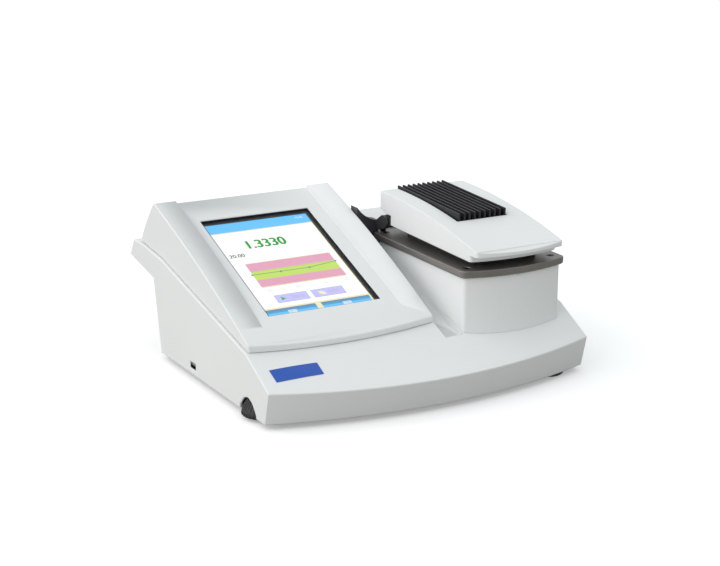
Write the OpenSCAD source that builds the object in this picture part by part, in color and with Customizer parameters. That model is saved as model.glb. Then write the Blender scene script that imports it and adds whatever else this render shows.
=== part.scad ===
// Automatic bench refractometer: wide base, tilted touch console on the left, measuring head
// with a hinged lid on the right. Millimetres, +Z up, front towards -Y, origin on the bench
// under the middle of the footprint. Modules are drawn in the base frame: x = 0 at mid width,
// y = 0 at the front corners and z = 0 at the base's bottom edge.

/* [Base housing] */
// Width of the base
base_w = 380; // [370:1:420]
// Depth from the front corners to the foot of the rear wall
base_d = 254; // [246:1:262]
// Bulge of the front face seen from above
nose_rise = 32; // [16:1:40]
// Height of the front face's top edge at its corners
nose_z = 35; // [28:1:42]
// How far the front face leans out on its way up
nose_lean = 9; // [0:1:14]
// Drop of the front edge from its corners to its middle
nose_sag = 4; // [0:0.5:8]
// Distance back to where the front deck meets the console
deck_y = 41; // [34:1:50]
// Height of the deck at that line
deck_z = 61; // [54:1:66]
// Height of the rear ledge
ledge_z = 112.8; // [108:0.2:116]
// Distance back to the ledge's rear edge
ledge_y = 324; // [310:1:340]
// Overhang of the rear wall past its foot, at mid height
overhang = 17; // [8:1:24]
// Furthest reach of the rear lip behind the ledge
rear_lip = 12; // [4:1:16]
// Wall thickness of the base moulding
base_wall = 3; // [2:0.5:4]
// Thickness of the steel bottom plate
bottom_t = 2; // [1:0.5:3]
// Width of the hidden channel between console and head
valley_gap = 22; // [16:1:23]

/* [Feet] */
// Height of the base above the bench
foot_h = 6; // [5:0.5:10]
// Radius of a fixed rubber foot
foot_r = 18; // [12:1:20]
// Distance of the fixed feet from mid width
foot_x = 154; // [130:1:158]
// Distance back to the rear feet
rear_foot_y = 222; // [200:1:230]
// Largest radius of the levelling wheel
wheel_r = 22; // [20:0.5:24]
// Height of the levelling wheel
wheel_h = 18; // [14:0.5:20]
// How far the levelling wheel stands out of the left wall
wheel_out = 5; // [3:0.5:5]
// Distance back to the levelling wheel's axis
wheel_y = 38; // [34:1:60]
// Flutes round the levelling wheel
wheel_flutes = 30; // [18:1:36]
// Radius of the levelling stud
stud_r = 4; // [3:0.5:6]
// Travel of the levelling stud
stud_travel = 6; // [3:0.5:8]

/* [Console] */
// Width of the console
console_w = 214; // [206:1:217]
// Inset of the console from the base's left wall
console_inset = 3; // [1:0.5:6]
// Height of the console's rear top edge
console_z = 164.2; // [156:0.2:168]
// Distance back to the console's rear top edge
console_y = 272; // [264:1:280]
// Height of the console's front lip above the deck
lip_h = 7; // [4:0.5:10]
// Bulge of the console's front seen from above
lip_rise = 8; // [2:1:14]
// Bulge of the rails' top line above a straight line
rail_bulge = 5; // [1:0.5:8]
// Width of a side rail
rail_w = 26; // [16:1:34]
// Wall thickness of the console
console_wall = 3; // [2:0.5:4]
// Joint between the console and the base
seam = 0.6; // [0.3:0.1:1.5]

/* [Display] */
// Slope of the display from the bench, in degrees
display_tilt = 20.8; // [19:0.2:22]
// Shift of the display window from the middle of the console
window_shift = -1; // [-4:0.5:4]
// Width of the display window
window_w = 130.5; // [110:0.5:140]
// Length of the display window
window_d = 175.5; // [150:0.5:178]
// Distance back to the window's lower edge
window_y = 77.4; // [70:0.5:90]
// Height of the glass at the window's lower edge
window_z = 81.6; // [78:0.2:83]
// Depth of the glass below the panel
window_sunk = 3; // [2:0.5:5]
// Wall of the black frame round the window
frame_wall = 0.8; // [0.6:0.2:2]
// Thickness of the touch glass
glass_t = 1.1; // [0.7:0.1:3]
// Thickness of the display module
lcd_t = 6.5; // [4:0.5:9]

/* [Head] */
// Distance of the head's middle from mid width
head_x = 110; // [108:1:114]
// Width of the head housing
head_w = 121; // [112:1:124]
// Height of the head housing's top edge
head_z = 111.6; // [108:0.2:114]
// Distance back to the head's front corners
head_y = 18.5; // [14:0.5:24]
// Bulge of the head's front seen from above
head_rise = 10.5; // [4:0.5:14]
// Wall thickness of the head
head_wall = 3; // [2:0.5:4]
// Overhang of the sample plate past the head
plate_over = 4; // [2:0.5:6]
// Thickness of the sample plate
plate_t = 8; // [6:0.5:10]
// Distance back to the sample plate's rear edge
plate_rear_y = 202; // [198:1:203]
// Radius of the thumb scallop in the head's front edge
scallop_r = 9; // [6:0.5:12]
// Depth of the thumb scallop
scallop_d = 3; // [1:0.5:4]

/* [Measuring cell] */
// Distance back to the middle of the prism
prism_y = 95; // [88:1:110]
// Outer radius of the steel prism seat
seat_r = 26; // [22:0.5:30]
// Depth of the well in the seat
well_d = 2.5; // [1.5:0.5:4]
// Width of the prism's face
prism_w = 16; // [12:0.5:20]
// Thickness of the peltier modules
peltier_t = 3.6; // [3:0.2:5]
// Radius of the fan rotor
fan_r = 18; // [14:0.5:20]
// Blades of the fan rotor
fan_blades = 7; // [5:1:9]

/* [Hinge] */
// Distance back to the lid's hinge axis
hinge_y = 190; // [188:0.5:191]
// Height of the lid's hinge axis
hinge_z = 133; // [132.5:0.1:133.5]
// Radius of the hinge shaft
shaft_r = 4; // [3:0.5:4.5]
// Radius of a hinge ear
ear_r = 7.5; // [7:0.1:7.8]
// Width of a hinge ear
ear_w = 7; // [5:0.5:8]

/* [Lid] */
// Width of the lid
lid_w = 108; // [104:1:112]
// Distance back to the lid's rear face
lid_rear_y = 202.4; // [201:0.2:203]
// Height of the lid's rear top edge
lid_rear_z = 165.7; // [162:0.5:170]
// Distance back to the corners of the lid's front lip
lid_front_y = 5.5; // [4:0.5:12]
// Height of the lip's top edge
lid_front_z = 140.6; // [138:0.2:143]
// Height of the lip's face
lid_lip = 5; // [4:0.2:8]
// Step back from the lip to the lower body
lid_step = 12.5; // [7:0.5:14]
// Bulge of the lid's top line above a straight line
lid_bulge = 6; // [3:0.5:9]
// Bulge of the lid's front seen from above
lid_rise = 7; // [4:0.5:12]
// Height of the lid's bottom edge at the front
lid_low_z = 127.5; // [126:0.5:130]
// Wall thickness of the lid
lid_wall = 3; // [2:0.5:3.5]
// Gap between the light seal and the sample plate
seal_gap = 0.4; // [0.3:0.1:1]
// Fins on the lid's heat sink
fins = 10; // [6:1:14]
// Width of the lid's heat sink over its fins
sink_w = 59.6; // [50:0.2:64]
// Height of a fin
fin_h = 9; // [6:0.5:12]
// Thickness of a fin
fin_t = 1.9; // [1.4:0.1:2.6]
// Radius of the presser plate
presser_r = 20; // [16:0.5:22]
// Travel of the presser plate
presser_travel = 1.5; // [1:0.1:2]

/* [Hidden] */
$fn = 48;

// Colours
shell_white = [0.86, 0.87, 0.87];
cowl_grey = [0.22, 0.22, 0.23];
plate_grey = [0.32, 0.31, 0.30];
sink_black = [0.09, 0.09, 0.10];
rubber_black = [0.06, 0.06, 0.06];
steel = [0.72, 0.73, 0.74];
board_green = [0.10, 0.35, 0.18];

// Small clearances that many pieces share
fit = 0.05;
touch_gap = 0.3;
eps = 0.01;

// Lines of the base
knee_y = 250;
knee_z = ledge_z - 5.5;
ledge_front_y = ledge_y - 24;
lip_z = ledge_z - 20;
under_z = ledge_z - 32;
rear_y = ledge_y + rear_lip;
front_y = -(rear_y - nose_rise - nose_lean) / 2;
half_w = base_w / 2;
top_line = [[-nose_lean, nose_z], [deck_y, deck_z], [knee_y, knee_z], [ledge_front_y, ledge_z - 0.5],
            [ledge_y, ledge_z]];
function base_top(y) = lookup(y, top_line);
deck_slope = (deck_z - nose_z + nose_sag) / (deck_y + nose_lean + nose_rise);
rear_tilt = atan(overhang / under_z);

// Lines of the console
console_x0 = -half_w + console_inset;
console_x1 = console_x0 + console_w;
console_mid = (console_x0 + console_x1) / 2;
lip_y = deck_y;
lip_top_z = deck_z + seam + lip_h;
console_foot_y = ledge_front_y + 11;
panel_t = window_sunk;

// Lines of the head and the lid
plate_z = head_z + touch_gap;
plate_top = plate_z + plate_t;
plate_w = head_w + 2 * plate_over;
seat_top = plate_top + 0.5;
well_z = seat_top - well_d;
valley_x1 = head_x - head_w / 2 - touch_gap;
valley_x0 = valley_x1 - valley_gap;
lid_low_rear_z = lid_low_z + 3.3;
notch_y = hinge_y - 10.5;
notch_z = hinge_z + 8.6;
sink_y0 = 77.8;
sink_y1 = lid_rear_y + 3;
sink_z0 = 163.2;
sink_z1 = 168.2;
sink_tilt = atan((sink_z1 - sink_z0) / (sink_y1 - sink_y0));
ear_x = lid_w / 2 - 0.7 - ear_w;

// Radius of an arc from its chord and its rise
function arc_radius(chord, rise) = (chord * chord / 4 + rise * rise) / (2 * rise);

// Points of an arc from p to q in n steps that bulges to the left of the way from p to q
function arc_points(p, q, rise, n = 16) =
    let (
        d = q - p,
        len = norm(d),
        u = d / len,
        v = [-u[1], u[0]],
        r = arc_radius(len, rise),
        half = asin(len / (2 * r)),
        c = (p + q) / 2 + v * (rise - r)
    )
    [for (i = [0:n])
        let (a = -half + 2 * half * i / n)
        c + r * (sin(a) * u + cos(a) * v)];

// Moves the base frame onto the bench
module on_bench() {
    translate([0, front_y, foot_h]) children();
}

// Extrudes a side profile given in (y, z) from x0 to x1
module side_extrude(x0, x1) {
    translate([x0, 0, 0]) rotate([90, 0, 90]) linear_extrude(x1 - x0) children();
}

// Rectangle with round corners
module round_rect(w, d, r) {
    square([w - 2 * r, d], center = true);
    square([w, d - 2 * r], center = true);
    for (sx = [-1, 1], sy = [-1, 1])
        translate([sx * (w / 2 - r), sy * (d / 2 - r)]) circle(r);
}

// Plan outline with a bulging front: corners at y0, middle at y0 - rise, rear at y1
module bow_plan(w, y0, rise, y1, r = 0, fine = 180) {
    big = arc_radius(w, rise);
    offset(r = r) offset(delta = -r)
    intersection() {
        translate([-w / 2, y0 - rise - 1]) square([w, y1 - y0 + rise + 1]);
        translate([0, y0 - rise + big]) circle(big, $fn = fine);
    }
}

// Outer form of the base, moved inward by t
module base_form(t = 0) {
    lean = nose_lean * (1 - t / nose_z);
    hull() {
        translate([0, 0, -eps * t])
            linear_extrude(eps) bow_plan(base_w - 2 * t, t, nose_rise, deck_y + 1, fine = 240);
        multmatrix([[1, 0, 0, 0], [0, 1, 0, -lean], [0, nose_sag / nose_rise, 1, nose_z - 1.2 * t], [0, 0, 0, 1]])
            linear_extrude(eps) bow_plan(base_w - 2 * t, t, nose_rise, 4, fine = 240);
        translate([-half_w + t, deck_y, -eps * t])
            cube([base_w - 2 * t, 1, deck_z - 1.1 * t]);
    }
    side_extrude(-half_w + t, half_w - t) offset(delta = -t) base_profile(t);
}

// Side profile of the base behind the deck line
module base_profile(t = 0) {
    polygon(concat(
        [[deck_y - t, -2 * t]],
        [for (p = top_line) if (p[0] >= deck_y) [p[0] - (p[0] == deck_y ? t : 0), p[1]]],
        [[rear_y, lip_z], [base_d + overhang, under_z], [base_d - 2 * t * tan(rear_tilt), -2 * t]]
    ));
}

// Channel between the console and the head, grown by t
valley_low = [80, deck_z - 6];
valley_rear = [plate_rear_y, base_top(plate_rear_y) - touch_gap];
function valley_floor(y) = lookup(y, [valley_low, valley_rear]);
module valley(t = 0) {
    side_extrude(valley_x0 - t, valley_x1 + t)
        offset(delta = t) polygon([
            [16, base_top(16) - 0.2],
            valley_low,
            valley_rear,
            [plate_rear_y, ledge_z + 40],
            [16, ledge_z + 40]
        ]);
}

module base_cavity() {
    difference() {
        base_form(base_wall);
        valley(base_wall);
    }
}

// Places children on the leaning rear wall: x along it, z up it, +y out of it
module on_rear_wall(x = 0, up = 0) {
    translate([x, base_d, 0]) rotate([-rear_tilt, 0, 0]) translate([0, 0, up]) children();
}

// Connector places on the rear wall
port_up = 36;
inlet_x = -half_w + 60;
switch_x = inlet_x + 38;
serial_x = switch_x + 102;
network_x = serial_x + 42;
usb_x = network_x + 32;

// Notch in the left wall that lets the levelling wheel out
wheel_x = -half_w - wheel_out + wheel_r;
wheel_z = -2.6;
wheel_top_r = wheel_r - 7.5;
wheel_shoulder = 5;
wheel_rim_h = 2;
wall_depth = wheel_r - wheel_out - base_wall;
notch_gap = 1.2;
function wheel_radius(z) = lookup(z, [[wheel_shoulder, wheel_r], [wheel_h - wheel_rim_h, wheel_top_r + 1],
                                      [wheel_h, wheel_top_r - 1.5]]);
function notch_half(z) = sqrt(max(pow(wheel_radius(z), 2) - wall_depth * wall_depth, 0)) + notch_gap;
notch_side = [for (i = [0:10]) let (z = wheel_shoulder + (wheel_h - wheel_shoulder) * i / 10)
              [notch_half(z), wheel_z + z + notch_gap]];
module wheel_notch() {
    side_extrude(-half_w - 1, -half_w + base_wall + 1)
        translate([wheel_y, 0]) polygon(concat(
            [[-notch_half(0), -1]],
            [for (p = notch_side) [-p[0], p[1]]],
            [for (i = [len(notch_side) - 1:-1:0]) notch_side[i]],
            [[notch_half(0), -1]]
        ));
}

// USB socket in the left wall
side_usb_y = 170;
side_usb_z = 10;
usb_w = 14.4;
usb_h = 7.2;

// Screws that hold the bottom plate, as places in x and y
bottom_screw_places = concat(
    [for (sx = [-1, 1], y = [84, 130, 240]) [sx * (half_w - 10), y]],
    [for (sx = [-1, 1]) [sx * 60, -nose_rise + 14]]
);
boss_h = 11;
module bottom_bosses() {
    for (p = bottom_screw_places) {
        side = sign(p[0]);
        translate([p[0], p[1], bottom_t + 2 * touch_gap]) {
            cylinder(r = 4.5, h = boss_h);
            if (p[1] > 20) translate([side > 0 ? 0 : -8, -1, 0]) cube([8, 2, boss_h]);
            else translate([-1, -10, 0]) cube([2, 10, boss_h]);
        }
    }
}

module base_housing() {
    color(shell_white) on_bench() difference() {
        union() {
            difference() {
                base_form();
                base_cavity();
                valley();
            }
            bottom_bosses();
        }
        for (p = bottom_screw_places)
            translate([p[0], p[1], 0]) cylinder(r = 1.6 + fit, h = boss_h);
        // Room under the console for its wiring and boards
        translate([console_x0 + 16, 72, 30]) cube([console_w - 32, 170, 100]);
        // Room under the head for its optics
        translate([head_x - head_w / 2 + 10, 34, 20]) cube([head_w - 20, 150, 120]);
        wheel_notch();
        translate([-half_w - 1, side_usb_y - usb_w / 2, side_usb_z - usb_h / 2])
            cube([base_wall + 2, usb_w, usb_h]);
        on_rear_wall(inlet_x, port_up) cube([27.6, 20, 20.6], center = true);
        on_rear_wall(switch_x, port_up) cube([switch_w + 0.6, 20, switch_h + 0.6], center = true);
        on_rear_wall(serial_x, port_up) cube([25.4, 20, 11.2], center = true);
        on_rear_wall(network_x, port_up) cube([16.4, 20, 14], center = true);
        on_rear_wall(usb_x, port_up) cube([usb_w, 20, 15.6], center = true);
    }
}

// Air slots under the head's fan
vent_slots = 9;

module bottom_plate() {
    color(steel) on_bench() difference() {
        translate([0, 0, touch_gap]) linear_extrude(bottom_t) difference() {
            bow_plan(base_w - 2 * base_wall - 1, base_wall + 0.5, nose_rise, base_d - base_wall - 1.5);
            translate([wheel_x, wheel_y]) circle(wheel_r + 1.5);
        }
        for (p = bottom_screw_places)
            translate([p[0], p[1], -1]) cylinder(r = 1.7, h = bottom_t + 3);
        for (i = [0:vent_slots - 1])
            translate([head_x - 40 + i * 10, 150, -1]) cube([4, 44, bottom_t + 3], center = false);
    }
}

module bottom_screws() {
    color(steel) on_bench() for (p = bottom_screw_places)
        translate([p[0], p[1], touch_gap]) {
            cylinder(r = 1.6, h = 9, $fn = 16);
            difference() {
                translate([0, 0, -1.8]) cylinder(r = 3, h = 1.8, $fn = 24);
                translate([0, 0, -2]) cylinder(r = 1.3, h = 1.2, $fn = 6);
            }
        }
}

// One foot at the right front and two at the rear: the levelling wheel is the fourth
foot_places = [[foot_x, 13], [foot_x, rear_foot_y], [-foot_x, rear_foot_y]];
module fixed_feet() {
    color(rubber_black) on_bench() for (p = foot_places)
        translate([p[0], p[1], -foot_h]) rotate_extrude() polygon([
            [4, 0], [foot_r - 1.5, 0], [foot_r, 1.5], [foot_r - 0.6, foot_h + touch_gap],
            [0, foot_h + touch_gap], [0, 3], [4, 3]
        ]);
}

bracket_seat = wheel_z + wheel_h + touch_gap;
bracket_boss = 14;
module levelling_bracket() {
    top = bracket_seat;
    reach = wheel_r + 14;
    foot_w = 30;
    color(steel) on_bench() difference() {
        union() {
            translate([wheel_x - 8, wheel_y - foot_w / 2, top]) cube([reach + 8, foot_w, 3]);
            translate([wheel_x + reach - 3, wheel_y - foot_w / 2, bottom_t + touch_gap])
                cube([3, foot_w, top - bottom_t - touch_gap + 3]);
            translate([wheel_x + reach - 3, wheel_y - foot_w / 2, bottom_t + touch_gap]) cube([14, foot_w, 2]);
            translate([wheel_x, wheel_y, top]) cylinder(r = stud_r + 4, h = bracket_boss);
        }
        translate([wheel_x, wheel_y, top - 1]) cylinder(r = stud_r + fit, h = bracket_boss + 2);
    }
}

module levelling_wheel() {
    color(rubber_black) on_bench() translate([wheel_x, wheel_y, wheel_z]) difference() {
        rotate_extrude() polygon([
            [stud_r + fit, 0], [wheel_r - 1, 0], [wheel_r, 1], [wheel_r, wheel_shoulder],
            [wheel_radius(wheel_h - wheel_rim_h), wheel_h - wheel_rim_h], [wheel_radius(wheel_h), wheel_h],
            [stud_r + fit, wheel_h]
        ]);
        for (i = [0:wheel_flutes - 1]) rotate([0, 0, i * 360 / wheel_flutes])
            translate([wheel_r + 0.5, 0, -1]) cylinder(r = 1.5, h = wheel_h + 2, $fn = 13);
    }
}

flange_z = -foot_h + 2.2;
module levelling_stud() {
    color(steel) on_bench() translate([wheel_x, wheel_y, 0]) {
        translate([0, 0, flange_z]) cylinder(r = stud_r, h = bracket_seat + bracket_boss + stud_travel - flange_z);
        translate([0, 0, flange_z]) cylinder(r = 9, h = 1);
    }
}

module levelling_pad() {
    color(rubber_black) on_bench() translate([wheel_x, wheel_y, -foot_h]) rotate_extrude() polygon([
        [0, 0], [11, 0], [12, 1], [12, 2.2], [0, 2.2]
    ]);
}

// Socket with a shell, a tongue and a row of rear pins, opening towards -y
module usb_socket(w, h, depth, wall = 0.6) {
    difference() {
        translate([-w / 2, 0, -h / 2]) cube([w, depth, h]);
        translate([-w / 2 + wall, -1, -h / 2 + wall]) cube([w - 2 * wall, depth - 1, h - 2 * wall]);
    }
    translate([-w / 2 + 1.6, 1.2, 0.2]) cube([w - 3.2, depth - 2, 1.6]);
}

module side_usb_port() {
    color(steel) on_bench() translate([-half_w + 0.6, side_usb_y, side_usb_z])
        rotate([0, 0, -90]) usb_socket(usb_w - 0.8, usb_h - 0.8, 17);
}

module power_inlet() {
    color(rubber_black) on_bench() on_rear_wall(inlet_x, port_up) {
        difference() {
            union() {
                translate([-13.5, -24, -10]) cube([27, 24, 20]);
                translate([-16, touch_gap, -12.2]) cube([32, 2.4, 24.4]);
                translate([-13.5, -1, -10]) cube([27, 2, 20]);
            }
            translate([-12, -15, -8]) cube([24, 30, 16]);
        }
        for (x = [-7, 0, 7]) translate([x - 1, -16, x == 0 ? -1.5 : 1.5]) cube([2, 12, 4]);
    }
}

// Switch: upright frame whose rocker tips about a cross pin through its side walls
switch_w = 12.8;
switch_h = 19;
switch_wall = 1.2;
rocker_pin_y = -3.2;
rocker_pin_r = 1.2;
rocker_throw = 20;
rocker_half = 6.8;
module switch_frame() {
    color(rubber_black) on_bench() on_rear_wall(switch_x, port_up) difference() {
        union() {
            translate([-switch_w / 2, -16, -switch_h / 2]) cube([switch_w, 17.3, switch_h]);
            translate([-switch_w / 2 - 1.3, touch_gap, -switch_h / 2 - 1.5]) cube([switch_w + 2.6, 1.8, switch_h + 3]);
        }
        translate([-switch_w / 2 + switch_wall, -10, -switch_h / 2 + 1.5])
            cube([switch_w - 2 * switch_wall, 20, switch_h - 3]);
        translate([-switch_w, rocker_pin_y, 0]) rotate([0, 90, 0])
            cylinder(r = rocker_pin_r + fit, h = 2 * switch_w);
    }
}

// Rocker with two dished faces, at rest with its lower face pressed in
module power_rocker() {
    rise = rocker_half * tan(rocker_throw / 2);
    w = switch_w - 2 * switch_wall - 2 * touch_gap;
    color(rubber_black) on_bench() on_rear_wall(switch_x, port_up) translate([0, rocker_pin_y, 0])
        rotate([-rocker_throw / 2, 0, 0]) {
            side_extrude(-w / 2, w / 2) polygon([
                [3.6, 0], [3.6 + rise, rocker_half], [1, rocker_half], [-3.4, 2.4], [-3.4, -2.4],
                [1, -rocker_half], [3.6 + rise, -rocker_half]
            ]);
            translate([-switch_w / 2 + 0.1, 0, 0]) rotate([0, 90, 0])
                cylinder(r = rocker_pin_r, h = switch_w - 0.2, $fn = 32);
        }
}

module serial_port() {
    color(steel) on_bench() on_rear_wall(serial_x, port_up) {
        difference() {
            union() {
                translate([-15.4, touch_gap, -6.2]) cube([30.8, 1, 12.4]);
                translate([0, touch_gap + 6, 0]) rotate([90, 0, 0]) linear_extrude(14)
                    polygon([[-8.3, 4], [8.3, 4], [7, -4], [-7, -4]]);
            }
            translate([0, touch_gap + 7, 0]) rotate([90, 0, 0]) linear_extrude(8)
                polygon([[-7.8, 3.5], [7.8, 3.5], [6.6, -3.5], [-6.6, -3.5]]);
        }
        for (i = [0:8])
            translate([(i < 5 ? (i - 2) * 2.77 : (i - 6.5) * 2.77), touch_gap + 5, i < 5 ? 1.4 : -1.4])
                rotate([90, 0, 0]) cylinder(r = 0.5, h = 8, $fn = 16);
    }
}

module network_port() {
    color(steel) on_bench() on_rear_wall(network_x, port_up) {
        difference() {
            translate([-8, -20.6, -6.8]) cube([16, 21, 13.6]);
            translate([-5.9, -13, -4.9]) cube([11.8, 20, 8.2]);
            translate([-3.2, -13, -1]) cube([6.4, 20, 6.4]);
        }
    }
}

module rear_usb_ports() {
    color(steel) on_bench() on_rear_wall(usb_x, port_up)
        for (s = [-1, 1]) translate([0, 0.2, s * 3.7]) rotate([0, 0, 180]) usb_socket(usb_w - 0.8, 6.8, 17);
}

// Open-frame power supply beside its inlet: board in a folded cage with a drilled top
psu_size = [98, 82, 34];
psu_board_z = 6;
psu_wall = 1.2;
module power_supply() {
    board_top = psu_board_z + 1.6;
    color(steel) on_bench() translate([inlet_x - 20, base_d - 104, bottom_t + touch_gap]) {
        difference() {
            cube(psu_size);
            translate([psu_wall, -1, psu_wall])
                cube([psu_size[0] - 2 * psu_wall, psu_size[1] + 2, psu_size[2] - 2 * psu_wall]);
            for (i = [0:9], j = [0:2])
                translate([14 + i * 7.5, 20 + j * 18, psu_size[2] - 4]) cylinder(r = 2, h = 8, $fn = 16);
        }
        color(board_green) translate([psu_wall + 0.2, 2, psu_board_z])
            cube([psu_size[0] - 2 * psu_wall - 0.4, psu_size[1] - 4, 1.6]);
        translate([20, 8, board_top]) cube([30, 34, 20]);
        for (x = [64, 80]) translate([x, 24, board_top]) cylinder(r = 7, h = 22, $fn = 24);
        for (x = [10, psu_size[0] - 16]) translate([x, psu_size[1] - 16, psu_wall])
            cube([6, 6, psu_board_z - psu_wall]);
    }
}

// Console: rails with a raised curve, panel sunk between them, bowed front lip
rail_line = arc_points([console_y, console_z], [lip_y, lip_top_z], -rail_bulge, 20);
front_reach = lip_y - lip_rise - 2;
function lip_line(y, z) = z - (lip_y - y) * deck_slope;
console_back = arc_points([console_foot_y, base_top(console_foot_y) + seam], [console_y, console_z], -2, 6);

module console_profile() {
    polygon(concat(
        [[front_reach, lip_line(front_reach, deck_z + seam)]],
        [for (p = top_line) if (p[0] >= deck_y && p[0] < console_foot_y) [p[0], p[1] + seam]],
        [for (i = [0:len(console_back) - 2]) console_back[i]],
        rail_line,
        [[front_reach, lip_line(front_reach, lip_top_z) - 1]]
    ));
}

// Plane of the panel round the window, as a frame: x across, y up the slope, z out of the glass
module on_panel() {
    translate([console_mid, window_y, window_z]) rotate([display_tilt, 0, 0]) children();
}

// The same plane with its middle line on the window
module on_display() {
    translate([window_shift, 0, 0]) on_panel() children();
}

module console_shell() {
    color(shell_white) on_bench() difference() {
        intersection() {
            side_extrude(console_x0, console_x1) console_profile();
            translate([console_mid, 0, 0]) linear_extrude(300)
                bow_plan(console_w, lip_y, lip_rise, rear_y + 20, 3);
        }
        // Panel sunk between the rails and open at the rear
        on_panel() translate([-console_w / 2 + rail_w, -60, panel_t])
            cube([console_w - 2 * rail_w, 320, 60]);
        // Window
        on_display() translate([-window_w / 2, 0, -20]) cube([window_w, window_d, 40]);
        for (p = bracket_screws)
            on_display() translate([p[0], p[1], -2]) cylinder(r = 1.6 + fit, h = 4);
        // Inside, open to the base
        intersection() {
            side_extrude(console_x0 + console_wall, console_x1 - console_wall)
                offset(delta = -console_wall) polygon(concat(
                    [[lip_y + 8, deck_z - 10], [console_foot_y, deck_z - 10]],
                    [for (p = console_back) p],
                    rail_line
                ));
            union() {
                on_panel() translate([-console_w / 2, -60, -200])
                    cube([console_w, 320, 200]);
                for (x = [console_x0, console_x1 - rail_w + console_wall])
                    translate([x, 0, 0]) cube([rail_w - console_wall, 400, 300]);
            }
        }
    }
}

frame_sunk = 0.9;
module display_frame() {
    color(rubber_black) on_bench() on_display() translate([0, window_d / 2, touch_gap])
        linear_extrude(panel_t - touch_gap - frame_sunk)
        difference() {
            square([window_w - 0.4, window_d - 0.4], center = true);
            square([window_w - 2 * frame_wall, window_d - 2 * frame_wall], center = true);
        }
}

glass_edge = 5;
module touch_glass() {
    color([0.35, 0.5, 0.6]) on_bench() on_display() translate([0, window_d / 2, -glass_t - 0.2])
        linear_extrude(glass_t) round_rect(window_w + 2 * glass_edge, window_d + 2 * glass_edge, 3);
}

module lcd_module() {
    z = -glass_t - 0.2 - touch_gap - lcd_t;
    color(cowl_grey) on_bench() on_display() {
        translate([0, window_d / 2, z]) linear_extrude(lcd_t)
            round_rect(window_w + 2, window_d + 2, 1);
        for (s = [-1, 1], y = [24, window_d - 24])
            translate([s * (window_w / 2 + 3.4), y, z + 1]) cube([5.2, 10, 2], center = true);
    }
}

bracket_z = -glass_t - 0.2 - 2 * touch_gap - lcd_t;
bracket_screws = [for (s = [-1, 1], y = [20, window_d - 20]) [s * (window_w / 2 + 14), y]];
module display_bracket() {
    color(steel) on_bench() on_display() difference() {
        union() {
            translate([-window_w / 2 - 8, 0, bracket_z - 1.5]) cube([window_w + 16, window_d, 1.5]);
            for (s = [-1, 1]) translate([s * (window_w / 2 + 7.2) - 0.8, 0, bracket_z - 1.5])
                cube([1.6, window_d, -bracket_z + 1.5 - 0.3]);
            for (p = bracket_screws) translate([p[0] - 7, p[1] - 8, -1.8]) cube([14, 16, 1.5]);
        }
        translate([-40, 40, bracket_z - 3]) cube([80, window_d - 80, 5]);
        for (p = bracket_screws) translate([p[0], p[1], -4]) cylinder(r = 1.7, h = 6);
    }
}

module display_screws() {
    color(steel) on_bench() on_display() for (p = bracket_screws) translate([p[0], p[1], -1.8 - touch_gap]) {
        translate([0, 0, -2]) cylinder(r = 3, h = 2, $fn = 24);
        cylinder(r = 1.6, h = 3.6 + touch_gap, $fn = 16);
    }
}

module main_board() {
    color(board_green) on_bench() on_display() {
        difference() {
            translate([-58, 22, bracket_z - 13]) cube([116, 132, 1.6]);
            for (x = [-52, 52], y = [30, 146]) translate([x, y, bracket_z - 15]) cylinder(r = 1.6, h = 6);
        }
        translate([-20, 70, bracket_z - 11.4]) cube([36, 36, 3]);
        translate([26, 60, bracket_z - 11.4]) cube([20, 60, 2]);
        translate([-50, 40, bracket_z - 11.4]) cube([20, 30, 5]);
        for (x = [-52, 52], y = [30, 146]) difference() {
            translate([x, y, bracket_z - 11.4]) cylinder(r = 3, h = 11.4 - 1.5 - 0.2, $fn = 24);
            translate([x, y, bracket_z - 12]) cylinder(r = 1.6, h = 10);
        }
    }
}

// Head: open-topped shell with a bowed front that stands on the deck
module head_plan(grow = 0, r = 5) {
    translate([head_x, 0])
        bow_plan(head_w + 2 * grow, head_y - grow, head_rise, plate_rear_y + 1, r, fine = 140);
}

module head_housing() {
    color(shell_white) on_bench() difference() {
        union() {
            difference() {
                translate([0, 0, 20]) linear_extrude(head_z - 20) head_plan();
                translate([0, 0, 10]) linear_extrude(head_z) head_plan(-head_wall, 3);
            }
            for (p = plate_screw_places)
                translate([p[0], p[1], head_z - 24]) cylinder(r = 5.4, h = 24);
        }
        translate([0, 0, touch_gap]) base_form();
        for (p = plate_screw_places)
            translate([p[0], p[1], head_z - 16]) cylinder(r = 2 + fit, h = 20);
        // Thumb scallop in the front edge
        translate([head_x, head_y - head_rise - scallop_r + scallop_d, head_z + 2])
            rotate([-20, 0, 0]) cylinder(r1 = scallop_r - 3, r2 = scallop_r, h = 16, center = true);
    }
}

plate_screw_places = [for (sx = [-1, 1], y = [26, plate_rear_y - 10]) [head_x + sx * (head_w / 2 - 8), y]];
module sample_plate() {
    color(plate_grey) on_bench() difference() {
        union() {
            translate([0, 0, plate_z + 1]) linear_extrude(plate_t - 1)
                translate([head_x, 0]) bow_plan(plate_w, head_y - plate_over + 1, head_rise + 1, plate_rear_y, 7, fine = 140);
            translate([0, 0, plate_z]) linear_extrude(2)
                translate([head_x, 0]) bow_plan(plate_w - 1.6, head_y - plate_over + 1.8, head_rise + 1, plate_rear_y - 0.8, 6.4, fine = 140);
        }
        translate([head_x, prism_y, plate_z - 1]) cylinder(r = seat_r + fit, h = plate_t + 2, $fn = 64);
        translate([head_x, prism_y, plate_top - 1.5]) cylinder(r = seat_r + 10, h = 3, $fn = 64);
        for (p = plate_screw_places) {
            translate([p[0], p[1], plate_z - 1]) cylinder(r = 2.2, h = plate_t + 2);
            translate([p[0], p[1], plate_top - 4.4]) cylinder(r = 4, h = 6);
        }
    }
}

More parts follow.
